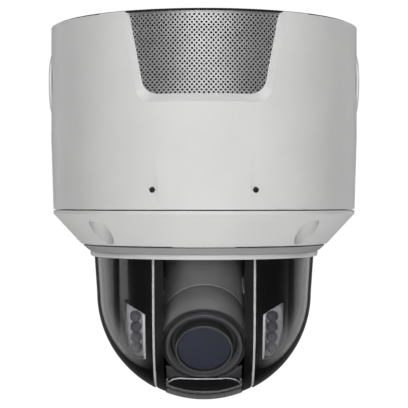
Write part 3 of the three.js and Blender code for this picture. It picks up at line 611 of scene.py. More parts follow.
def painted_sheet(name):
    """Perforated steel sheet with a pale powder coat, rubbed a little brighter in places."""
    shade = Shade(name)
    shade.tones(shade.noise(0.01, detail=4), (0.6, 0.6, 0.6), (0.68, 0.68, 0.68))
    shade.rough(shade.noise(0.0015), 0.36, 0.42)
    peel = shade.bumped(shade.noise(0.0009, detail=2), 0.00005, 0.35)
    shade.bumped(shade.noise(0.0003, detail=2), 0.00002, 0.4, under=peel)
    shade.set(Metallic=0.85)
    return shade


LOOKS = {
    name: maker(name, *values)
    for name, maker, *values in (
        ("housing_plastic", moulded_plastic, (0.655, 0.655, 0.65), (0.69, 0.69, 0.685), 0.4, 0.52),
        ("grille_metal", painted_sheet),
        ("trim_plastic", moulded_plastic, (0.335,) * 3, (0.35,) * 3, 0.34, 0.4, 0.0006, 0.000004),
        ("cast_alloy", cast_metal, (0.36, 0.37, 0.38), (0.5, 0.51, 0.52)),
        ("dim_alloy", cast_metal, (0.2, 0.2, 0.205), (0.27, 0.27, 0.275)),
        ("steel", machined_metal, (0.42, 0.42, 0.43), (0.6, 0.6, 0.61)),
        ("brass", machined_metal, (0.5, 0.36, 0.14), (0.72, 0.55, 0.25)),
        ("rubber", rubber),
        ("black_plastic", moulded_plastic, (0.1,) * 3, (0.125, 0.125, 0.126), 0.36, 0.48),
        ("gloss_black", glossy_black),
        ("satin_black", satin_black),
        ("clear_plastic", clear_wall, (0.985, 0.985, 0.99), 150),
        ("clear_front", clear_wall, (0.985, 0.985, 0.99), 70),
        ("tinted_window", clear_wall, (0.93, 0.93, 0.94), 20, 0.05),
        ("lens_glass", coated_lens),
        ("circuit_board", circuit_board),
        ("grey_plastic", moulded_plastic, (0.012, 0.012, 0.013), (0.02, 0.02, 0.021), 0.4, 0.55),
        # Painted highlight: the pale look on the windows' stepped edges and on the chin shield's
        # rim and foot band.
        ("edge_highlight_paint", painted_edge_highlight, (0.62, 0.62, 0.63)),
        ("lamp_face", moulded_plastic, (0.42,) * 3, (0.5,) * 3, 0.35, 0.5, 0.0006, 0.00002),
        ("lamp_optic", glossy_black, (0.09, 0.09, 0.095), 0.08, 0.16),
        ("lens_black", moulded_plastic, (0.012,) * 3, (0.017,) * 3, 0.34, 0.42, 0.0006, 0.000006),
        # Near-black metal for the yoke arms: painted shade.
        ("shade_black_metal", machined_metal, (0.02, 0.02, 0.021), (0.035, 0.035, 0.037)),
        ("lens_ring", moulded_plastic, (0.03, 0.03, 0.031), (0.04, 0.04, 0.041), 0.3, 0.36, 0.0006,
         0.000004),
    )
}


def finish(obj, name, look, body, nodes, slot, sharp=32):
    """Makes a built solid a piece, in metres, with its looks, body and CAD nodes."""
    obj.name = name
    obj.data.name = name
    obj.data.transform(Matrix.Scale(MM, 4))
    looks = look if isinstance(look, tuple) else (look,)
    chosen = [polygon.material_index for polygon in obj.data.polygons]
    obj.data.materials.clear()
    for entry in looks:
        obj.data.materials.append(LOOKS[entry].material)
    for polygon, index in zip(obj.data.polygons, chosen):
        polygon.material_index = min(index, len(looks) - 1)
    obj.data.shade_smooth()
    obj.data.set_sharp_from_angle(angle=math.radians(sharp))
    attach(obj, body)
    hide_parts(*nodes)


def housing_piece(obj, name, look, slot=None, **options):
    finish(obj, name, look, "housing", (name,), slot or look, **options)


# ---- Housing ----


def window_outline(shape, grow=0.0, top=6):
    """The speaker window's outline: slanting sides and round lower corners."""
    top_half, bottom_half, foot = shape
    top_half, bottom_half, foot = top_half + grow, bottom_half + grow, foot - grow
    side = [(top_half, top)]
    rim = [(top_half, top), (top_half, 0), (bottom_half, foot, OPENING_CORNER), (0, foot)]
    side += rounded(rim, closed=False, steps=10)[2:-1]
    x, z = side[1]
    steps = 12
    side[1:1] = [(top_half + (x - top_half) * k / steps, z * k / steps) for k in range(steps)]
    x, z = side[-1]
    flat = [(x * (1 - 2 * k / steps), z) for k in range(1, steps)]
    return side + flat + [(-x, z) for x, z in reversed(side)]


def on_cylinder(x, z, radius):
    return Vector((x, -math.sqrt(radius * radius - x * x), z))


def bevel_cutter():
    """The funnel from the housing's face down to the grille."""
    inner = [on_cylinder(x, z, GRILLE_RADIUS + 0.1) for x, z in window_outline(OPENING)]
    outer = [on_cylinder(x, z, HOUSING_RADIUS) for x, z in window_outline(BEVEL)]
    count = len(inner)
    rows = [[a + (b - a) * reach for a, b in zip(inner, outer)] for reach in (-0.35, 1.2)]
    rows.append([Vector((v.x, -100, v.z)) for v in rows[1]])
    faces = []
    for start in (0, count):
        for i in range(count):
            n = (i + 1) % count
            faces.append((start + i, start + n, start + count + n, start + count + i))
    half = count // 2
    for start in (0, 2 * count):
        strip = [(i, i + 1, count - 2 - i, count - 1 - i) for i in range(half - 1)]
        strip.append((half - 1, half, half + 1))
        faces += [tuple(start + v for v in face) for face in strip]
    return solid([v for row in rows for v in row], faces)


def upper_shell():
    inside = HOUSING_RADIUS - HOUSING_WALL
    body = turned_form(
        (inside, RIM_Z),
        (GASKET_RADIUS + GAP, RIM_Z),
        (GASKET_RADIUS + GAP, PILLAR_Z),
        (HOUSING_RADIUS, PILLAR_Z, 0.7),
        (HOUSING_RADIUS, DRAFT_START_Z, 60),
        (HOUSING_FOOT_RADIUS, SEAM_Z, 0.35),
        (HOUSING_FOOT_RADIUS - HOUSING_WALL, SEAM_Z),
        (inside, DRAFT_START_Z),
        steps=5,
    )
    liner = ring(LINER_RADIUS, HOUSING_RADIUS - 1, BEVEL[2] - 2.5, RIM_Z)
    liner = clipped(liner, box((-46, 46), (-HOUSING_RADIUS, -60), (BEVEL[2] - 3, 0)))
    bosses = [bar("z", 6.8, SEAM_Z, SEAM_Z + 16, centre) for centre in SCREW_CENTRES]
    body = joined(body, *bosses, liner)
    rim = cut(ring(70, 90, RIM_Z, 1), box((-53, 53), (-90, 0), (-1.2, 1.5)))
    throat = clipped(
        slab_y(window_outline(OPENING), (-90, -60)), ring(LINER_RADIUS - 3, GRILLE_RADIUS, -60, 7)
    )
    seat = clipped(
        slab_y(window_outline(OPENING, 2), (-90, -60)),
        ring(GRILLE_RADIUS - GRILLE_SHEET - GAP, GRILLE_RADIUS + 0.1, -60, 7),
    )
    mics = []
    for _, sign in SIDES:
        centre = (sign * MIC_X, MIC_Z)
        mics.append(bar("y", MIC_HOLE_RADIUS, -90, -72, centre, 32))
        face = math.sqrt((HOUSING_RADIUS - 0.9) ** 2 - MIC_X**2)
        wide, neck = -face - 1, -face + 0.4
        cone = [(0, wide), (MIC_HOLE_RADIUS + 1.6, wide), (1.4, neck), (0, neck)]
        mics.append(turning("y", cone, centre, 32))
    plugs = [bar("x", PLUG_STEM_RADIUS + GAP, -95, 95, (0, PLUG_Z))]
    plugs += [
        bar("x", PLUG_RADIUS + GAP, *side_span(sign, PLUG_SEAT_X, 95), (0, PLUG_Z), 96)
        for _, sign in SIDES
    ]
    low, high = SEAM_Z - 1, SEAM_Z + 13
    holes = [bar("z", SCREW_HOLE_RADIUS, low, high, centre, 24) for centre in SCREW_CENTRES]
    return cut(body, rim, throat, seat, bevel_cutter(), *mics, *plugs, *holes)


def perforated_sheet():
    """The speaker grille, cut flat with every hole and then curved."""
    edge = [(x, min(z, RIM_Z)) for x, z in window_outline(OPENING, 1.6, top=RIM_Z)]
    corners = [point for i, point in enumerate(edge) if point != edge[i - 1]]
    top = [(x, RIM_Z) for x in range(-38, 39, 2)]
    outline = list(reversed(corners + top))
    radius = GRILLE_RADIUS
    verts = [Vector((radius * math.asin(x / radius), z)) for x, z in outline]
    faces = [list(range(len(verts)))]
    sides = 10
    for row in range(ROWS):
        z = FIRST_ROW_Z - row * ROW_PITCH
        share = (z - RIM_Z) / (OPENING[2] - RIM_Z)
        half = OPENING[0] + (OPENING[1] - OPENING[0]) * share + 0.2
        drop = OPENING[2] + OPENING_CORNER - z
        if drop > 0:
            drop = min(drop, OPENING_CORNER)
            half -= OPENING_CORNER - math.sqrt(OPENING_CORNER**2 - drop**2)
        half = radius * math.asin(half / radius)
        offset = row % 2 / 2
        reach = int(half / HOLE_PITCH) + 1
        for k in range(-reach, reach + 1):
            s = (k + offset) * HOLE_PITCH
            if abs(s) > half:
                continue
            faces.append(list(range(len(verts), len(verts) + sides)))
            for i in range(sides):
                turn = 2 * math.pi * i / sides
                x, y = HOLE_RADIUS * math.cos(turn), HOLE_RADIUS * math.sin(turn)
                verts.append(Vector((s + x, z + y)))
    made, _, triangles, _, _, origin = delaunay_2d_cdt(verts, [], faces, 1, 1e-6, True)
    kept = [face for face, source in zip(triangles, origin) if source == [0]]
    count = len(made)

    def curved(point, r):
        turn = point[0] / radius
        return (r * math.sin(turn), -r * math.cos(turn), point[1])

    points = [curved(p, radius) for p in made] + [curved(p, radius - GRILLE_SHEET) for p in made]
    edges = dict.fromkeys(pair for face in kept for pair in zip(face, face[1:] + face[:1]))
    walls = [(a, b, b + count, a + count) for a, b in edges if (b, a) not in edges]
    both = [tuple(face) for face in kept] + [tuple(v + count for v in reversed(f)) for f in kept]
    sheet = solid(points, both + walls)
    bm = bmesh.new()
    bm.from_mesh(sheet.data)
    loose = [v for v in bm.verts if not v.link_faces]
    bmesh.ops.delete(bm, geom=loose, context="VERTS")
    bm.to_mesh(sheet.data)
    bm.free()
    return sheet


def back_plate():
    rim = HOUSING_RADIUS - HOUSING_WALL - GAP
    plate = turned_form(
        (0, 0),
        (PLATE_RADIUS, 0, 0.4),
        (PLATE_RADIUS, RIM_Z),
        (rim, RIM_Z),
        (rim, -PLATE_THICKNESS, 0.5),
        (0, -PLATE_THICKNESS),
        closed=False,
    )
    half, front, rear, depth, wall = BAY.values()
    inner_face = 1 - PLATE_THICKNESS
    across = (-half - wall, half + wall)
    tray = box(across, (front - wall, rear + wall), (-depth - wall, inner_face))
    pocket = eased(box((-half, half), (front, rear), (-depth, 1)), 1.2, steps=3)
    lead_in = prism(
        [(-half, front), (half, front), (half, rear), (-half, rear)],
        shift(0, 0, -0.6) @ Matrix.Diagonal((1, 1, 2, 1)),
    )
    for vertex in lead_in.data.vertices:
        if vertex.co.z > 0:
            vertex.co.x += math.copysign(2, vertex.co.x)
            vertex.co.y += math.copysign(2, vertex.co.y - (front + rear) / 2)
    centres = [at_angle(MOUNT_PITCH_RADIUS, d) for d in SCREW_ANGLES]
    bosses = [bar("z", 6, -12, inner_face, c, fillet=0.4) for c in centres]
    profile = [(0, -9)]
    for k in range(12):
        z = -9 + 0.72 * k
        profile += [(2.5, z), (2.75, z + 0.36)]
    profile += [(2.5, -0.5), (3.3, 0.3), (3.3, 1), (0, 1)]
    bores = [turning("z", profile, centre, 40) for centre in centres]
    room = clipped(
        ring(LINER_RADIUS - GAP, 90, -PLATE_THICKNESS - 1, RIM_Z + GAP),
        box((-46.5, 46.5), (-90, -50), (-10, 1)),
    )
    hole = bar("x", GROMMET["neck"] + GAP, -BAY["half"] - 5, 0, (GROMMET["y"], GROMMET["z"]))
    return cut(joined(plate, tray, *bosses), pocket, lead_in, *bores, room, hole)


def conduit_plug(sign):
    """A shallow domed cap on a stem, with a coin slot across it."""
    sphere = (PLUG_RADIUS**2 + PLUG_BULGE**2) / (2 * PLUG_BULGE)
    foot = PLUG_SEAT_X + GAP - HOUSING_RADIUS
    profile = [(0, -9), (PLUG_STEM_RADIUS, -9, 0.4), (PLUG_STEM_RADIUS, foot), (PLUG_RADIUS, foot)]
    profile.append((PLUG_RADIUS, foot + 1.2, 0.35))
    steps = 14
    for i in range(1, steps + 1):
        radius = (PLUG_RADIUS - 0.2) * (1 - i / steps)
        height = math.sqrt(sphere**2 - radius**2) - sphere + PLUG_BULGE
        profile.append((radius, max(height, foot + 1.2) if i == 1 else height))
    cap = lathe(rounded(profile, closed=False), 96)
    slot = box((-7, 7), (-0.9, 0.9), (PLUG_BULGE - 1.4, PLUG_BULGE + 1))
    return moved(cut(cap, slot), shift(sign * HOUSING_RADIUS, 0, PLUG_Z) @ turned("Y", sign * 90))


def base_ring():
    outer = turned_form(
        (0, BASE_TOP_Z),
        (HOUSING_FOOT_RADIUS, BASE_TOP_Z, 0.35),
        (HOUSING_FOOT_RADIUS, BASE_EDGE_Z, 0.9),
        (BASE_BOTTOM_RADIUS, BASE_BOTTOM_Z, 0.3),
        (0, BASE_BOTTOM_Z),
        closed=False,
    )
    hollow = lathe(
        [
            (0, BASE_TOP_Z + 1),
            (79.2, BASE_TOP_Z + 1),
            (79.2, BASE_EDGE_Z - 0.5),
            (69.5, -113.5),
            (BASE_BORE, -113.5),
            (BASE_BORE, BASE_BOTTOM_Z - 1),
            (0, BASE_BOTTOM_Z - 1),
        ]
    )
    body = cut(outer, hollow)
    for centre in SCREW_CENTRES:
        boss = bar("z", 9, -114, BASE_TOP_Z, centre)
        room = lathe([(0, BASE_TOP_Z), (81, BASE_TOP_Z), (81, -104.5), (72, -114), (0, -114)])
        body = joined(body, clipped(boss, room))
    tongue = clipped(
        ring(65.5, BASE_BOTTOM_RADIUS - 0.4, BASE_BOTTOM_Z - 0.35, BASE_BOTTOM_Z + 1),
        box((-TONGUE_HALF, TONGUE_HALF), (-90, 0), (-125, -110)),
    )
    body = joined(body, tongue)
    for centre in SCREW_CENTRES:
        roof = POCKET_ROOF_Z
        pocket = [(0, -125), (POCKET_RADIUS, -125), (POCKET_RADIUS, roof, 1.2), (0, roof)]
        pocket = turning("z", rounded(pocket, closed=False), centre)
        counterbore = bar("z", COUNTERBORE_RADIUS, -110, COUNTERBORE_Z, centre)
        body = cut(body, pocket, counterbore, bar("z", SCREW_HOLE_RADIUS, -110, -98, centre, 24))
    return cut(body, ring(81.1, 82.9, BASE_TOP_Z - 1.5, BASE_TOP_Z + 1))


def base_screw(x, y):
    """A cap screw with a hex socket and a countersink round it."""
    top = COUNTERBORE_Z - GAP
    foot = top - 3.1
    profile = [(0, foot), (4.2, foot, 0.5), (4.2, top, 0.2), (0, top)]
    head = turning("z", rounded(profile, closed=False), (x, y))
    shank = bar("z", 2, top - 1, SEAM_Z + 12, (x, y), 32, fillet=0.4)
    socket = bar("z", 1.9, foot - 1, foot + 1.8, (x, y), 6)
    profile = [(0, foot - 1), (2.9, foot - 1), (1.7, foot + 0.3), (0, foot + 0.3)]
    return cut(joined(head, shank), socket, turning("z", profile, (x, y), 32))


def trim_ring():
    """The sloping ring round the dome, whose lip has the housing's look."""
    ring_form = turned_form(
        (TRIM_BORE, TRIM_ROOT_Z),
        (BASE_BORE - GAP, TRIM_ROOT_Z),
        (BASE_BORE - GAP, TRIM_TOP_Z),
        (67.6, TRIM_TOP_Z, 0.25),
        (66.2, -121.4, 2.5),
        (64.4, -122.9, 2.5),
        (63.1, -123.65, 0.2),
        (63.5, -124.2, 0.4),
        (63.4, -125.7, 0.9),
        (62.6, TRIM_BOTTOM_Z, 0.5),
        (TRIM_BORE, TRIM_BOTTOM_Z + 0.2, 0.3),
        steps=5,
    )
    return two_looks(ring_form, lambda centre: centre.z < TRIM_LIP_Z)


def cable_grommet():
    y, z, neck, flange, bore = GROMMET.values()
    outside, inside = -BAY["half"] - BAY["wall"], -BAY["half"]
    profile = rounded(
        [
            (bore, outside - GAP - 2, 0.4),
            (flange - 0.8, outside - GAP - 2, 0.6),
            (flange, outside - GAP, 0.3),
            (neck, outside - GAP),
            (neck, inside + GAP),
            (flange, inside + GAP, 0.3),
            (flange - 0.8, inside + GAP + 2, 0.6),
            (bore, inside + GAP + 2, 0.4),
        ]
    )
    return turning("x", profile, (y, z))


housing_piece(upper_shell(), "upper_shell", "housing_plastic")
housing_piece(perforated_sheet(), "speaker_grille", "grille_metal", sharp=40)
housing_piece(
    ring(PLATE_RADIUS + GAP, GASKET_RADIUS, RIM_Z + GAP, 0, fillet=0.2), "rim_gasket", "rubber"
)
housing_piece(back_plate(), "back_plate", "cast_alloy")
housing_piece(base_ring(), "base_ring", "housing_plastic")
housing_piece(trim_ring(), "trim_ring", ("trim_plastic", "housing_plastic"), "trim_plastic")
housing_piece(cable_grommet(), "cable_grommet", "rubber")
for side, sign in SIDES:
    housing_piece(conduit_plug(sign), f"conduit_plug_{side}", "housing_plastic")
for number, centre in enumerate(SCREW_CENTRES, 1):
    housing_piece(base_screw(*centre), f"base_screw_{number}", "steel")

# ---- Turning head ----


def dome_form(offset, top=DOME_TOP_Z):
    upper = DOME_TOP_RADIUS - offset
    profile = [(0, top), (upper, top), (upper, DOME_LIP_Z)]
    radius = DOME_RADIUS - offset
    steps = 40
    for i in range(steps):
        turn = math.pi / 2 * i / steps
        profile.append((radius * math.cos(turn), TILT_Z - radius * math.sin(turn)))
    return lathe(profile + [(0, TILT_Z - radius)])


def dome_shell(outer, inner, top=DOME_TOP_Z):
    return cut(dome_form(outer, top), dome_form(inner, top + 1))


HEAD_FRONT = (-70, BACK_COVER_Y - GAP)
HEAD_HEIGHT = (-210, DOME_TOP_Z + 2)


def centre_window():
    strip = box((-WINDOW_HALF, WINDOW_HALF), HEAD_FRONT, HEAD_HEIGHT)
    return clipped(dome_shell(0, DOME_WALL), strip)


def painted_highlight_step(window, sign, inner):
    """Gives what lies within a step of a window's inner side the second look, a pale painted
    highlight.
    """
    return two_looks(window, lambda centre: sign * centre.x < inner + EDGE_STEP - 0.01)


def side_window(sign):
    """The window's side next to the rib is stepped down, and the step gets a pale look as a painted
    highlight.
    """
    pane = box(side_span(sign, SIDE_INNER + EDGE_STEP, 70), HEAD_FRONT, HEAD_HEIGHT)
    step = box(side_span(sign, SIDE_INNER, SIDE_INNER + EDGE_STEP + 0.2), HEAD_FRONT, HEAD_HEIGHT)
    window = joined(
        clipped(dome_shell(0, DOME_WALL), pane), clipped(dome_shell(0.7, DOME_WALL), step)
    )
    # The step gets the pale look: a painted highlight along the window's edge.
    return painted_highlight_step(window, sign, SIDE_INNER)


def head_frame():
    """The rear cover and the two ribs between the windows."""
    cover = clipped(dome_shell(0, DOME_WALL), box((-70, 70), (BACK_COVER_Y, 70), HEAD_HEIGHT))
    for _, sign in SIDES:
        strip = box(side_span(sign, RIB_INNER, RIB_OUTER), (-70, BACK_COVER_Y + 6), HEAD_HEIGHT)
        rib = clipped(dome_shell(0.5, 5.7, DECK_LIP_Z - GAP), strip)
        cover = joined(cover, rib)
    return eased(cover, 0.3, angle=50)


def lamp_outline(sign, inner, outer, top_inner, top_outer, bottom, fillet=1.2):
    foot = [(inner, bottom, fillet), (outer, bottom, fillet)]
    top = [(outer, top_outer, 0.5), (inner, top_inner, 0.5)]
    return [(sign * x, z) for x, z in rounded(foot + top)]


def shroud_shell(depth):
    return dome_shell(depth, SHROUD_INSIDE, SHROUD_TOP_Z)


def head_shroud(sign):
    """The dark inner wall of one side, with a stepped pod round the lamps."""

    def upright_box(inner, outer, depths):
        return box(side_span(sign, inner, outer), depths, (-210, SHROUD_TOP_Z))

    skin = clipped(shroud_shell(2.8), upright_box(POD_SHOULDER, 70, HEAD_FRONT))
    shoulder = upright_box(POD_FACE - 0.5, POD_SHOULDER + 0.5, (-70, 0))
    shoulder = clipped(shroud_shell(4.8), shoulder)
    face = clipped(shroud_shell(3.2), upright_box(POD_EDGE, POD_FACE, (-70, 0)))
    inner = POD_FACE - 1
    corners = [(inner, -215), (POD_OUTER, -215), (POD_OUTER, -148.9), (inner, -150.2)]
    pod = slab_y([(sign * x, z) for x, z in corners], (-70, -5))
    pod = clipped(shroud_shell(3.2), pod)
    opening = lamp_outline(sign, POD_INNER + 1.4, POD_OUTER - 1, -155.8, -149.9, -181.3)
    return cut(joined(skin, shoulder, face, pod), slab_y(opening, (-70, -10)))


def ir_window(sign):
    """The smoked pane, stepped down at its inner side, where the step gets a pale look as a painted
    highlight.
    """
    inner = POD_INNER + 1.7
    edges = lamp_outline(sign, inner, POD_OUTER - 1.3, -156.2, -150.3, -181, 0.05)
    pane = clipped(dome_shell(3.4, 5, SHROUD_TOP_Z), slab_y(edges, (-60, -12)))
    step = box(side_span(sign, inner - 1, inner + EDGE_STEP), (-70, 0), (-200, -140))
    pane = cut(pane, clipped(dome_shell(3, 3.9, SHROUD_TOP_Z), step))
    # The step gets the pale look: a painted highlight along the pane's inner edge.
    return painted_highlight_step(pane, sign, inner)


def leaned(obj, sign):
    place = shift(sign * LED_X, -25, LAMP_Z) @ turned("X", LED_DROP)
    return moved(obj, place)


def lamp_board(sign):
    """The lamps' carrier, with a shallow reflector cup under each optic."""
    board = box((-6, 6), (-0.6, 1.6), (-18.5, 17.5), 0.25)
    for z in LED_HEIGHTS:
        board = joined(board, bar("y", 3.25, -1.6, 0, (0, z), 48, fillet=0.2))
    return clipped(leaned(board, sign), dome_form(7))


def lamp_optics(sign):
    """Four domed lenses in a row."""
    radius = 3.0
    profile = [(0, 1.7), (2.9, 1.7), (radius, 2.4)]
    for i in range(1, 10):
        turn = i * math.pi / 20
        profile.append((radius * math.cos(turn), 3.1 + radius * math.sin(turn)))
    profile.append((0, 6.1))
    optics = [moved(lathe(profile, 40), shift(0, 0, z) @ turned("X", 90)) for z in LED_HEIGHTS]
    return leaned(joined(*optics), sign)


def head_piece(obj, name, look, slot=None, **options):
    finish(obj, name, look, "pan_head", (name,), slot or look, **options)


head_piece(centre_window(), "centre_window", "clear_front", "clear_plastic", sharp=40)
head_piece(head_frame(), "head_frame", "gloss_black")
for side, sign in SIDES:
    head_piece(
        side_window(sign), f"side_window_{side}", ("clear_plastic", "edge_highlight_paint"), "clear_plastic"
    )
    head_piece(head_shroud(sign), f"head_shroud_{side}", "satin_black", "gloss_black")
    head_piece(
        ir_window(sign), f"ir_window_{side}", ("tinted_window", "edge_highlight_paint"), "tinted_window"
    )
    board = f"ir_board_{side}"
    head_piece(lamp_board(sign), board, "lamp_face", "circuit_board")
    optics = f"ir_optics_{side}"
    finish(lamp_optics(sign), optics, "lamp_optic", "pan_head", (board,), "circuit_board")

# ---- Camera module, built level and then tilted to its rest position ----

MODULE_PLACE = shift(0, 0, TILT_Z) @ turned("X", TILT_REST)


def optic(profile):
    """Turns a profile of (radius, u), where u runs forward along the optical axis."""
    return moved(lathe(profile, 96), shift(0, 0, -OPTIC_DROP) @ turned("X", 90))


def optic_ring(*corners):
    return optic(rounded(corners))


def module_piece(obj, name, look, slot=None, **options):
    moved(obj, MODULE_PLACE)
    finish(obj, name, look, "camera_module", (name,), slot or look, **options)


def rear_housing():
    wall = 1.8
    front = SEAM_U - 0.25
    shell = optic_ring(
        (0, MODULE_REAR + wall),
        (MODULE_RADIUS - wall, MODULE_REAR + wall, 2),
        (MODULE_RADIUS - wall, front),
        (MODULE_RADIUS, front, 0.35),
        (MODULE_RADIUS, MODULE_REAR, 3),
        (0, MODULE_REAR),
    )
    slot = box((-8, 8), (-MODULE_REAR - 4, -MODULE_REAR + 2), (-16, -10), 0.5)
    body = cut(shell, slot)
    for side, sign in SIDES:
        reach = 30.5 if side == "left" else 34
        body = joined(body, bar("x", 8, *side_span(sign, 21.4, 24.8), fillet=0.4))
        body = joined(body, bar("x", TRUNNION_RADIUS, *side_span(sign, 24, reach), fillet=0.4))
    return two_looks(body, lambda centre: abs(centre.x) > MODULE_RADIUS + 0.05)


def rimmed(obj, level):
    """Gives what lies beyond a level of the optical axis the second look."""
    return two_looks(obj, lambda centre: -centre.y > level)


def lens_hood():
    back = SEAM_U + 0.25
    hood = optic_ring(
        (HOOD_BORE, back),
        (MODULE_RADIUS, back, 0.35),
        (MODULE_RADIUS, HOOD_FRONT, 0.9),
        (BEZEL_RADIUS + 0.6, HOOD_FRONT, 0.4),
        (BEZEL_RADIUS + 0.6, back + 2.25, 0.4),
        (HOOD_BORE, back + 2.25),
    )
    # The hood's front rim gets the near-black lens look: painted shadow for the gap in front of the
    # bezel.
    return rimmed(hood, HOOD_FRONT - 0.95)


def hood_bezel():
    return optic_ring(
        (HOOD_BORE, HOOD_FRONT - 6),
        (BEZEL_RADIUS, HOOD_FRONT - 6),
        (BEZEL_RADIUS, BEZEL_FRONT, 0.7),
        (18.9, BEZEL_FRONT, 0.4),
        (HOOD_BORE, BEZEL_FRONT - 2.6, 0.6),
    )


def lens_barrel():
    """The barrel with its stepped front, grip grooves and the thin ring round the glass."""
    front = HOOD_FRONT - 2
    bore, groove = 13.6, BARREL_RADIUS - 0.3
    profile = [(bore, -18.5), (BARREL_RADIUS, -18.5, 0.4)]
    for k in range(8):
        u = 4 + 1.6 * k
        profile += [(BARREL_RADIUS, u), (groove, u + 0.3), (groove, u + 0.8)]
        profile.append((BARREL_RADIUS, u + 1.1))
    profile += [
        (BARREL_RADIUS, front, 0.5),
        (LENS_RING_RADIUS, front),
        (LENS_RING_RADIUS, LENS_RING_FRONT, 0.35),
        (GLASS_RADIUS, LENS_RING_FRONT, 0.3),
        (GLASS_RADIUS, HOOD_FRONT - 3),
        (bore, HOOD_FRONT - 3),
    ]
    barrel = optic_ring(*profile)
    plate = optic_ring((0, -20), (BARREL_RADIUS, -20, 0.4), (BARREL_RADIUS, -18), (0, -18))
    window = box((-6, 6), (17, 22), (-OPTIC_DROP - 5, -OPTIC_DROP + 5))
    room = box((-20, 20), (9.2, 12.8), (-OPTIC_DROP - 9, -OPTIC_DROP + 9))
    return rimmed(cut(joined(barrel, plate), window, room), LENS_RING_FRONT - 0.4)


def front_glass():
    """The front element, gently domed, with a ground black rim."""
    radius = GLASS_RADIUS - GAP
    rim = LENS_RING_FRONT - 1.9
    bulge = 0.7
    sphere = (radius**2 + bulge**2) / (2 * bulge)
    steps = 16
    profile = [(0, HOOD_FRONT - 1.5), (radius, HOOD_FRONT - 1.5)]
    for i in range(steps):
        r = radius * (1 - i / steps)
        profile.append((r, rim + math.sqrt(sphere**2 - r**2) - sphere + bulge))
    return optic(profile + [(0, rim + bulge)])


def sphere_shell(inner, outer):
    return cut(ball(outer), ball(inner))


def wedge(low, high, half):
    """The room between two angles below the optical axis, seen from the tilt axis."""
    reach = 80
    outline = [(0, 0)]
    for degrees in (high, (low + high) / 2, low):
        turn = math.radians(degrees)
        outline.append((-reach * math.cos(turn), -reach * math.sin(turn)))
    return slab_x(outline, (-half, half))


def upright(obj):
    """Takes a shape drawn in its place at rest back to the module's own level frame."""
    return moved(obj, MODULE_PLACE.inverted())


def shield_outline(inset):
    shoulder = [(20.9, -197.9), (19.6, -194.7), (17, -192.4), (13.5, -191.3)]
    shoulder = [(x - inset, z - inset) for x, z in shoulder]
    half = shoulder[0][0]
    outline = [(-half, -215), (half, -215)] + shoulder + [(-x, z) for x, z in reversed(shoulder)]
    return upright(slab_y(outline, (-70, 20)))


def chin_shield():
    """A black D-shaped cover under the lens; its stepped rim and a band at its foot get a pale look
    as painted highlight.
    """
    plate = clipped(sphere_shell(53.7, 54.8), wedge(10, 66, 20.9), shield_outline(0))
    raised = clipped(sphere_shell(54.4, 55.4), wedge(10, 66, 20.9), shield_outline(0.55))
    shield = moved(joined(plate, raised), MODULE_PLACE)
    bm = bmesh.new()
    bm.from_mesh(shield.data)
    middle = Vector((0, 0, TILT_Z))
    steep = math.radians(BAND_END)
    band_end = Vector((0, math.sin(steep), -math.cos(steep)))
    for place, across in (((0, 0, LIP_Z), (0, 0, 1)), (middle, band_end)):
        bmesh.ops.bisect_plane(
            bm, geom=bm.verts[:] + bm.edges[:] + bm.faces[:], plane_co=place, plane_no=across
        )
    bm.to_mesh(shield.data)
    bm.free()

    # The rim and the foot band get the pale look: painted highlight.
    def bright(centre):
        in_band = centre.z < LIP_Z and (centre - middle).dot(band_end) < 0
        return (centre - middle).length <= 55.2 or in_band

    return upright(two_looks(shield, bright))


def chin_bracket():
    front = clipped(sphere_shell(51.6, 53.1), wedge(22, 42, 20.4))
    room = MODULE_RADIUS + 0.4
    front = cut(front, optic_ring((0, 10), (room, 10), (room, 70), (0, 70)))
    under = -OPTIC_DROP - MODULE_RADIUS - GAP
    tongue = box((-12, 12), (-45, -10), (under - 1.4, under))
    return eased(joined(front, clipped(tongue, ball(53))), 0.2, angle=50)


module_piece(rear_housing(), "rear_housing", ("black_plastic", "lens_black"), "black_plastic")
module_piece(lens_hood(), "lens_hood", ("black_plastic", "lens_black"), "black_plastic")
module_piece(hood_bezel(), "hood_bezel", "lens_ring", "black_plastic")
module_piece(lens_barrel(), "lens_barrel", ("lens_black", "lens_ring"), "black_plastic")
module_piece(front_glass(), "front_glass", "lens_glass", sharp=50)
module_piece(chin_shield(), "chin_shield", ("gloss_black", "edge_highlight_paint"), "gloss_black")
module_piece(chin_bracket(), "chin_bracket", "dim_alloy", "cast_alloy")

# ---- CAD nodes that are shown as they are ----

for entry in frame["record"]["subparts"]:
    node = frame["nodes"][entry["node"]]
    # The yoke arms get the near-black metal look: painted shade for the dark gap they are seen
    # through.
    look = LOOKS["shade_black_metal" if "yoke_arm" in entry["node"] else entry["material_slot"]].material
    for slot in node.material_slots:
        slot.material = look

# ---- Studio ----

CAMERA_PLACE = (0, -0.740, -0.097)
FLOOR_Z = -1.4
AMBIENT = 0.06


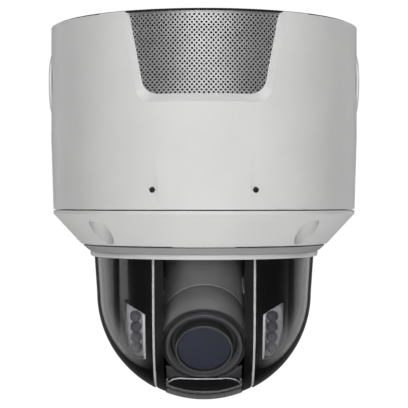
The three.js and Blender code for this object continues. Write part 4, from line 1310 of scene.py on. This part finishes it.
def studio_world():
    """A white room, whose light for matt surfaces and for mirroring ones is set apart."""
    world = bpy.data.worlds.new("studio")
    world.use_nodes = True
    tree = world.node_tree
    new, link = tree.nodes.new, tree.links.new
    axes = new("ShaderNodeSeparateXYZ")
    link(new("ShaderNodeTexCoord").outputs["Generated"], axes.inputs[0])

    def slope(source, points):
        """A value that follows points of (coordinate, value)."""
        curve = new("ShaderNodeValToRGB")
        ramp = curve.color_ramp
        while len(ramp.elements) < len(points):
            ramp.elements.new(0.5)
        for element, (at, value) in zip(ramp.elements, points):
            element.position = (at + 1) / 2
            element.color = (value, value, value, 1)
        half = new("ShaderNodeMath")
        half.operation = "MULTIPLY_ADD"
        for socket in half.inputs[1:]:
            socket.default_value = 0.5
        link(source, half.inputs[0])
        link(half.outputs[0], curve.inputs["Fac"])
        return curve.outputs["Color"]

    def times(a, b):
        product = new("ShaderNodeMath")
        product.operation = "MULTIPLY"
        link(a, product.inputs[0])
        link(b, product.inputs[1])
        return product.outputs[0]

    def background(strength):
        made = new("ShaderNodeBackground")
        made.inputs["Color"].default_value = (1, 1, 1, 1)
        if isinstance(strength, float):
            made.inputs[1].default_value = strength
        else:
            link(strength, made.inputs[1])
        return made.outputs[0]

    def pick(share, off, on):
        both = new("ShaderNodeMixShader")
        link(share, both.inputs["Fac"])
        link(off, both.inputs[1])
        link(on, both.inputs[2])
        return both.outputs[0]

    depth = slope(axes.outputs["Y"], ((-1, 0.03), (0, 0.2), (0.3, 0.5), (0.5, 1.0)))
    half = ((0, 0.05), (0.5, 0.05), (0.6, 1.8), (0.78, 1.8), (0.9, 0.8), (1, 0.4))
    across = [(-at, value) for at, value in reversed(half)] + list(half[1:])
    side = slope(axes.outputs["X"], across)
    height = slope(axes.outputs["Z"], ((-1, 0.05), (-0.85, 0.1), (-0.6, 0.9), (0, 1.0)))
    path = new("ShaderNodeLightPath").outputs
    mirrored = background(times(times(depth, side), height))
    unseen = pick(path["Is Glossy Ray"], background(AMBIENT), mirrored)
    room = pick(path["Is Camera Ray"], unseen, background(1.02))
    link(room, tree.nodes["World Output"].inputs["Surface"])
    bpy.context.scene.world = world


def soft_light(name, place, target, size, power):
    lamp = bpy.data.lights.new(name, "AREA")
    lamp.shape = "RECTANGLE"
    lamp.size, lamp.size_y = size
    lamp.energy = power
    obj = bpy.data.objects.new(name, lamp)
    obj.location = place
    aim = Vector(target) - Vector(place)
    obj.rotation_euler = aim.to_track_quat("-Z", "Y").to_euler()
    bpy.context.scene.collection.objects.link(obj)
    return obj


def floor():
    half = 6
    corners = ((-half, -half), (half, -half), (half, half), (-half, half))
    mesh = bpy.data.meshes.new("floor")
    mesh.from_pydata([(x, y, FLOOR_Z) for x, y in corners], [], [(0, 1, 2, 3)])
    obj = bpy.data.objects.new("floor", mesh)
    bpy.context.scene.collection.objects.link(obj)
    shade = Shade("floor")
    shade.tones(shade.noise(0.5), (0.86, 0.86, 0.86), (0.88, 0.88, 0.88))
    shade.set(Roughness=0.6, Emission_Color=(1, 1, 1), Emission_Strength=0.8)
    mesh.materials.append(shade.material)
    obj.visible_diffuse = False
    obj.visible_glossy = False
    obj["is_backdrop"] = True


def camera():
    data = bpy.data.cameras.new("camera")
    data.lens = 116.5
    data.sensor_width = 36
    data.shift_y = -0.0034
    obj = bpy.data.objects.new("camera", data)
    obj.location = CAMERA_PLACE
    obj.rotation_euler = (math.radians(90), 0, 0)
    bpy.context.scene.collection.objects.link(obj)
    bpy.context.scene.camera = obj


studio_world()
floor()
camera()
MIDDLE = (0, 0, -0.1)
INSIDE = (0, 0, -0.15)
soft_light("key", (0, -1.1, 0.95), MIDDLE, (0.6, 0.4), 12)
front = soft_light("front", (0, -1.6, -0.8), MIDDLE, (0.8, 0.8), 19)
under = soft_light("under", (0, 0, -1.2), MIDDLE, (0.6, 0.6), 5.5)
side_left = soft_light("side_left", (-0.8, 1.2, 0.05), MIDDLE, (0.5, 0.8), 12)
side_right = soft_light("side_right", (0.8, 1.2, 0.05), MIDDLE, (0.5, 0.8), 12)
fill = soft_light("fill", (-0.15, -1.5, -0.15), INSIDE, (0.5, 0.5), 64)
for lamp in (front, under, side_left, side_right, fill):
    lamp.visible_glossy = False
strip = soft_light("strip", (-1.2, 0.27, -0.15), MIDDLE, (0.42, 0.9), 3.6)
strip.visible_diffuse = False
sheen = soft_light("sheen", (0, -1.3, 0.1), (0, 0, 0), (0.9, 0.6), 2.2)


def shine_only_on(lamp, pieces):
    chosen = bpy.data.collections.new(lamp.name)
    for piece in pieces:
        chosen.objects.link(piece)
    lamp.light_linking.receiver_collection = chosen


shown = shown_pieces()
TURNING = {"pan_head", "camera_module"}
UNFILLED = ("centre_window", "side_window", "head_frame", "head_shroud")


def named(starts):
    return [piece for piece in shown if piece.name.startswith(starts)]


turning_pieces = [piece for piece in shown if TURNING & set(body_of(piece) or ())]
unfilled = named(UNFILLED)
shine_only_on(fill, [piece for piece in turning_pieces if piece not in unfilled])
shine_only_on(strip, named("head_shroud"))
shine_only_on(sheen, named("speaker_grille"))
bpy.context.scene.view_settings.view_transform = "Standard"
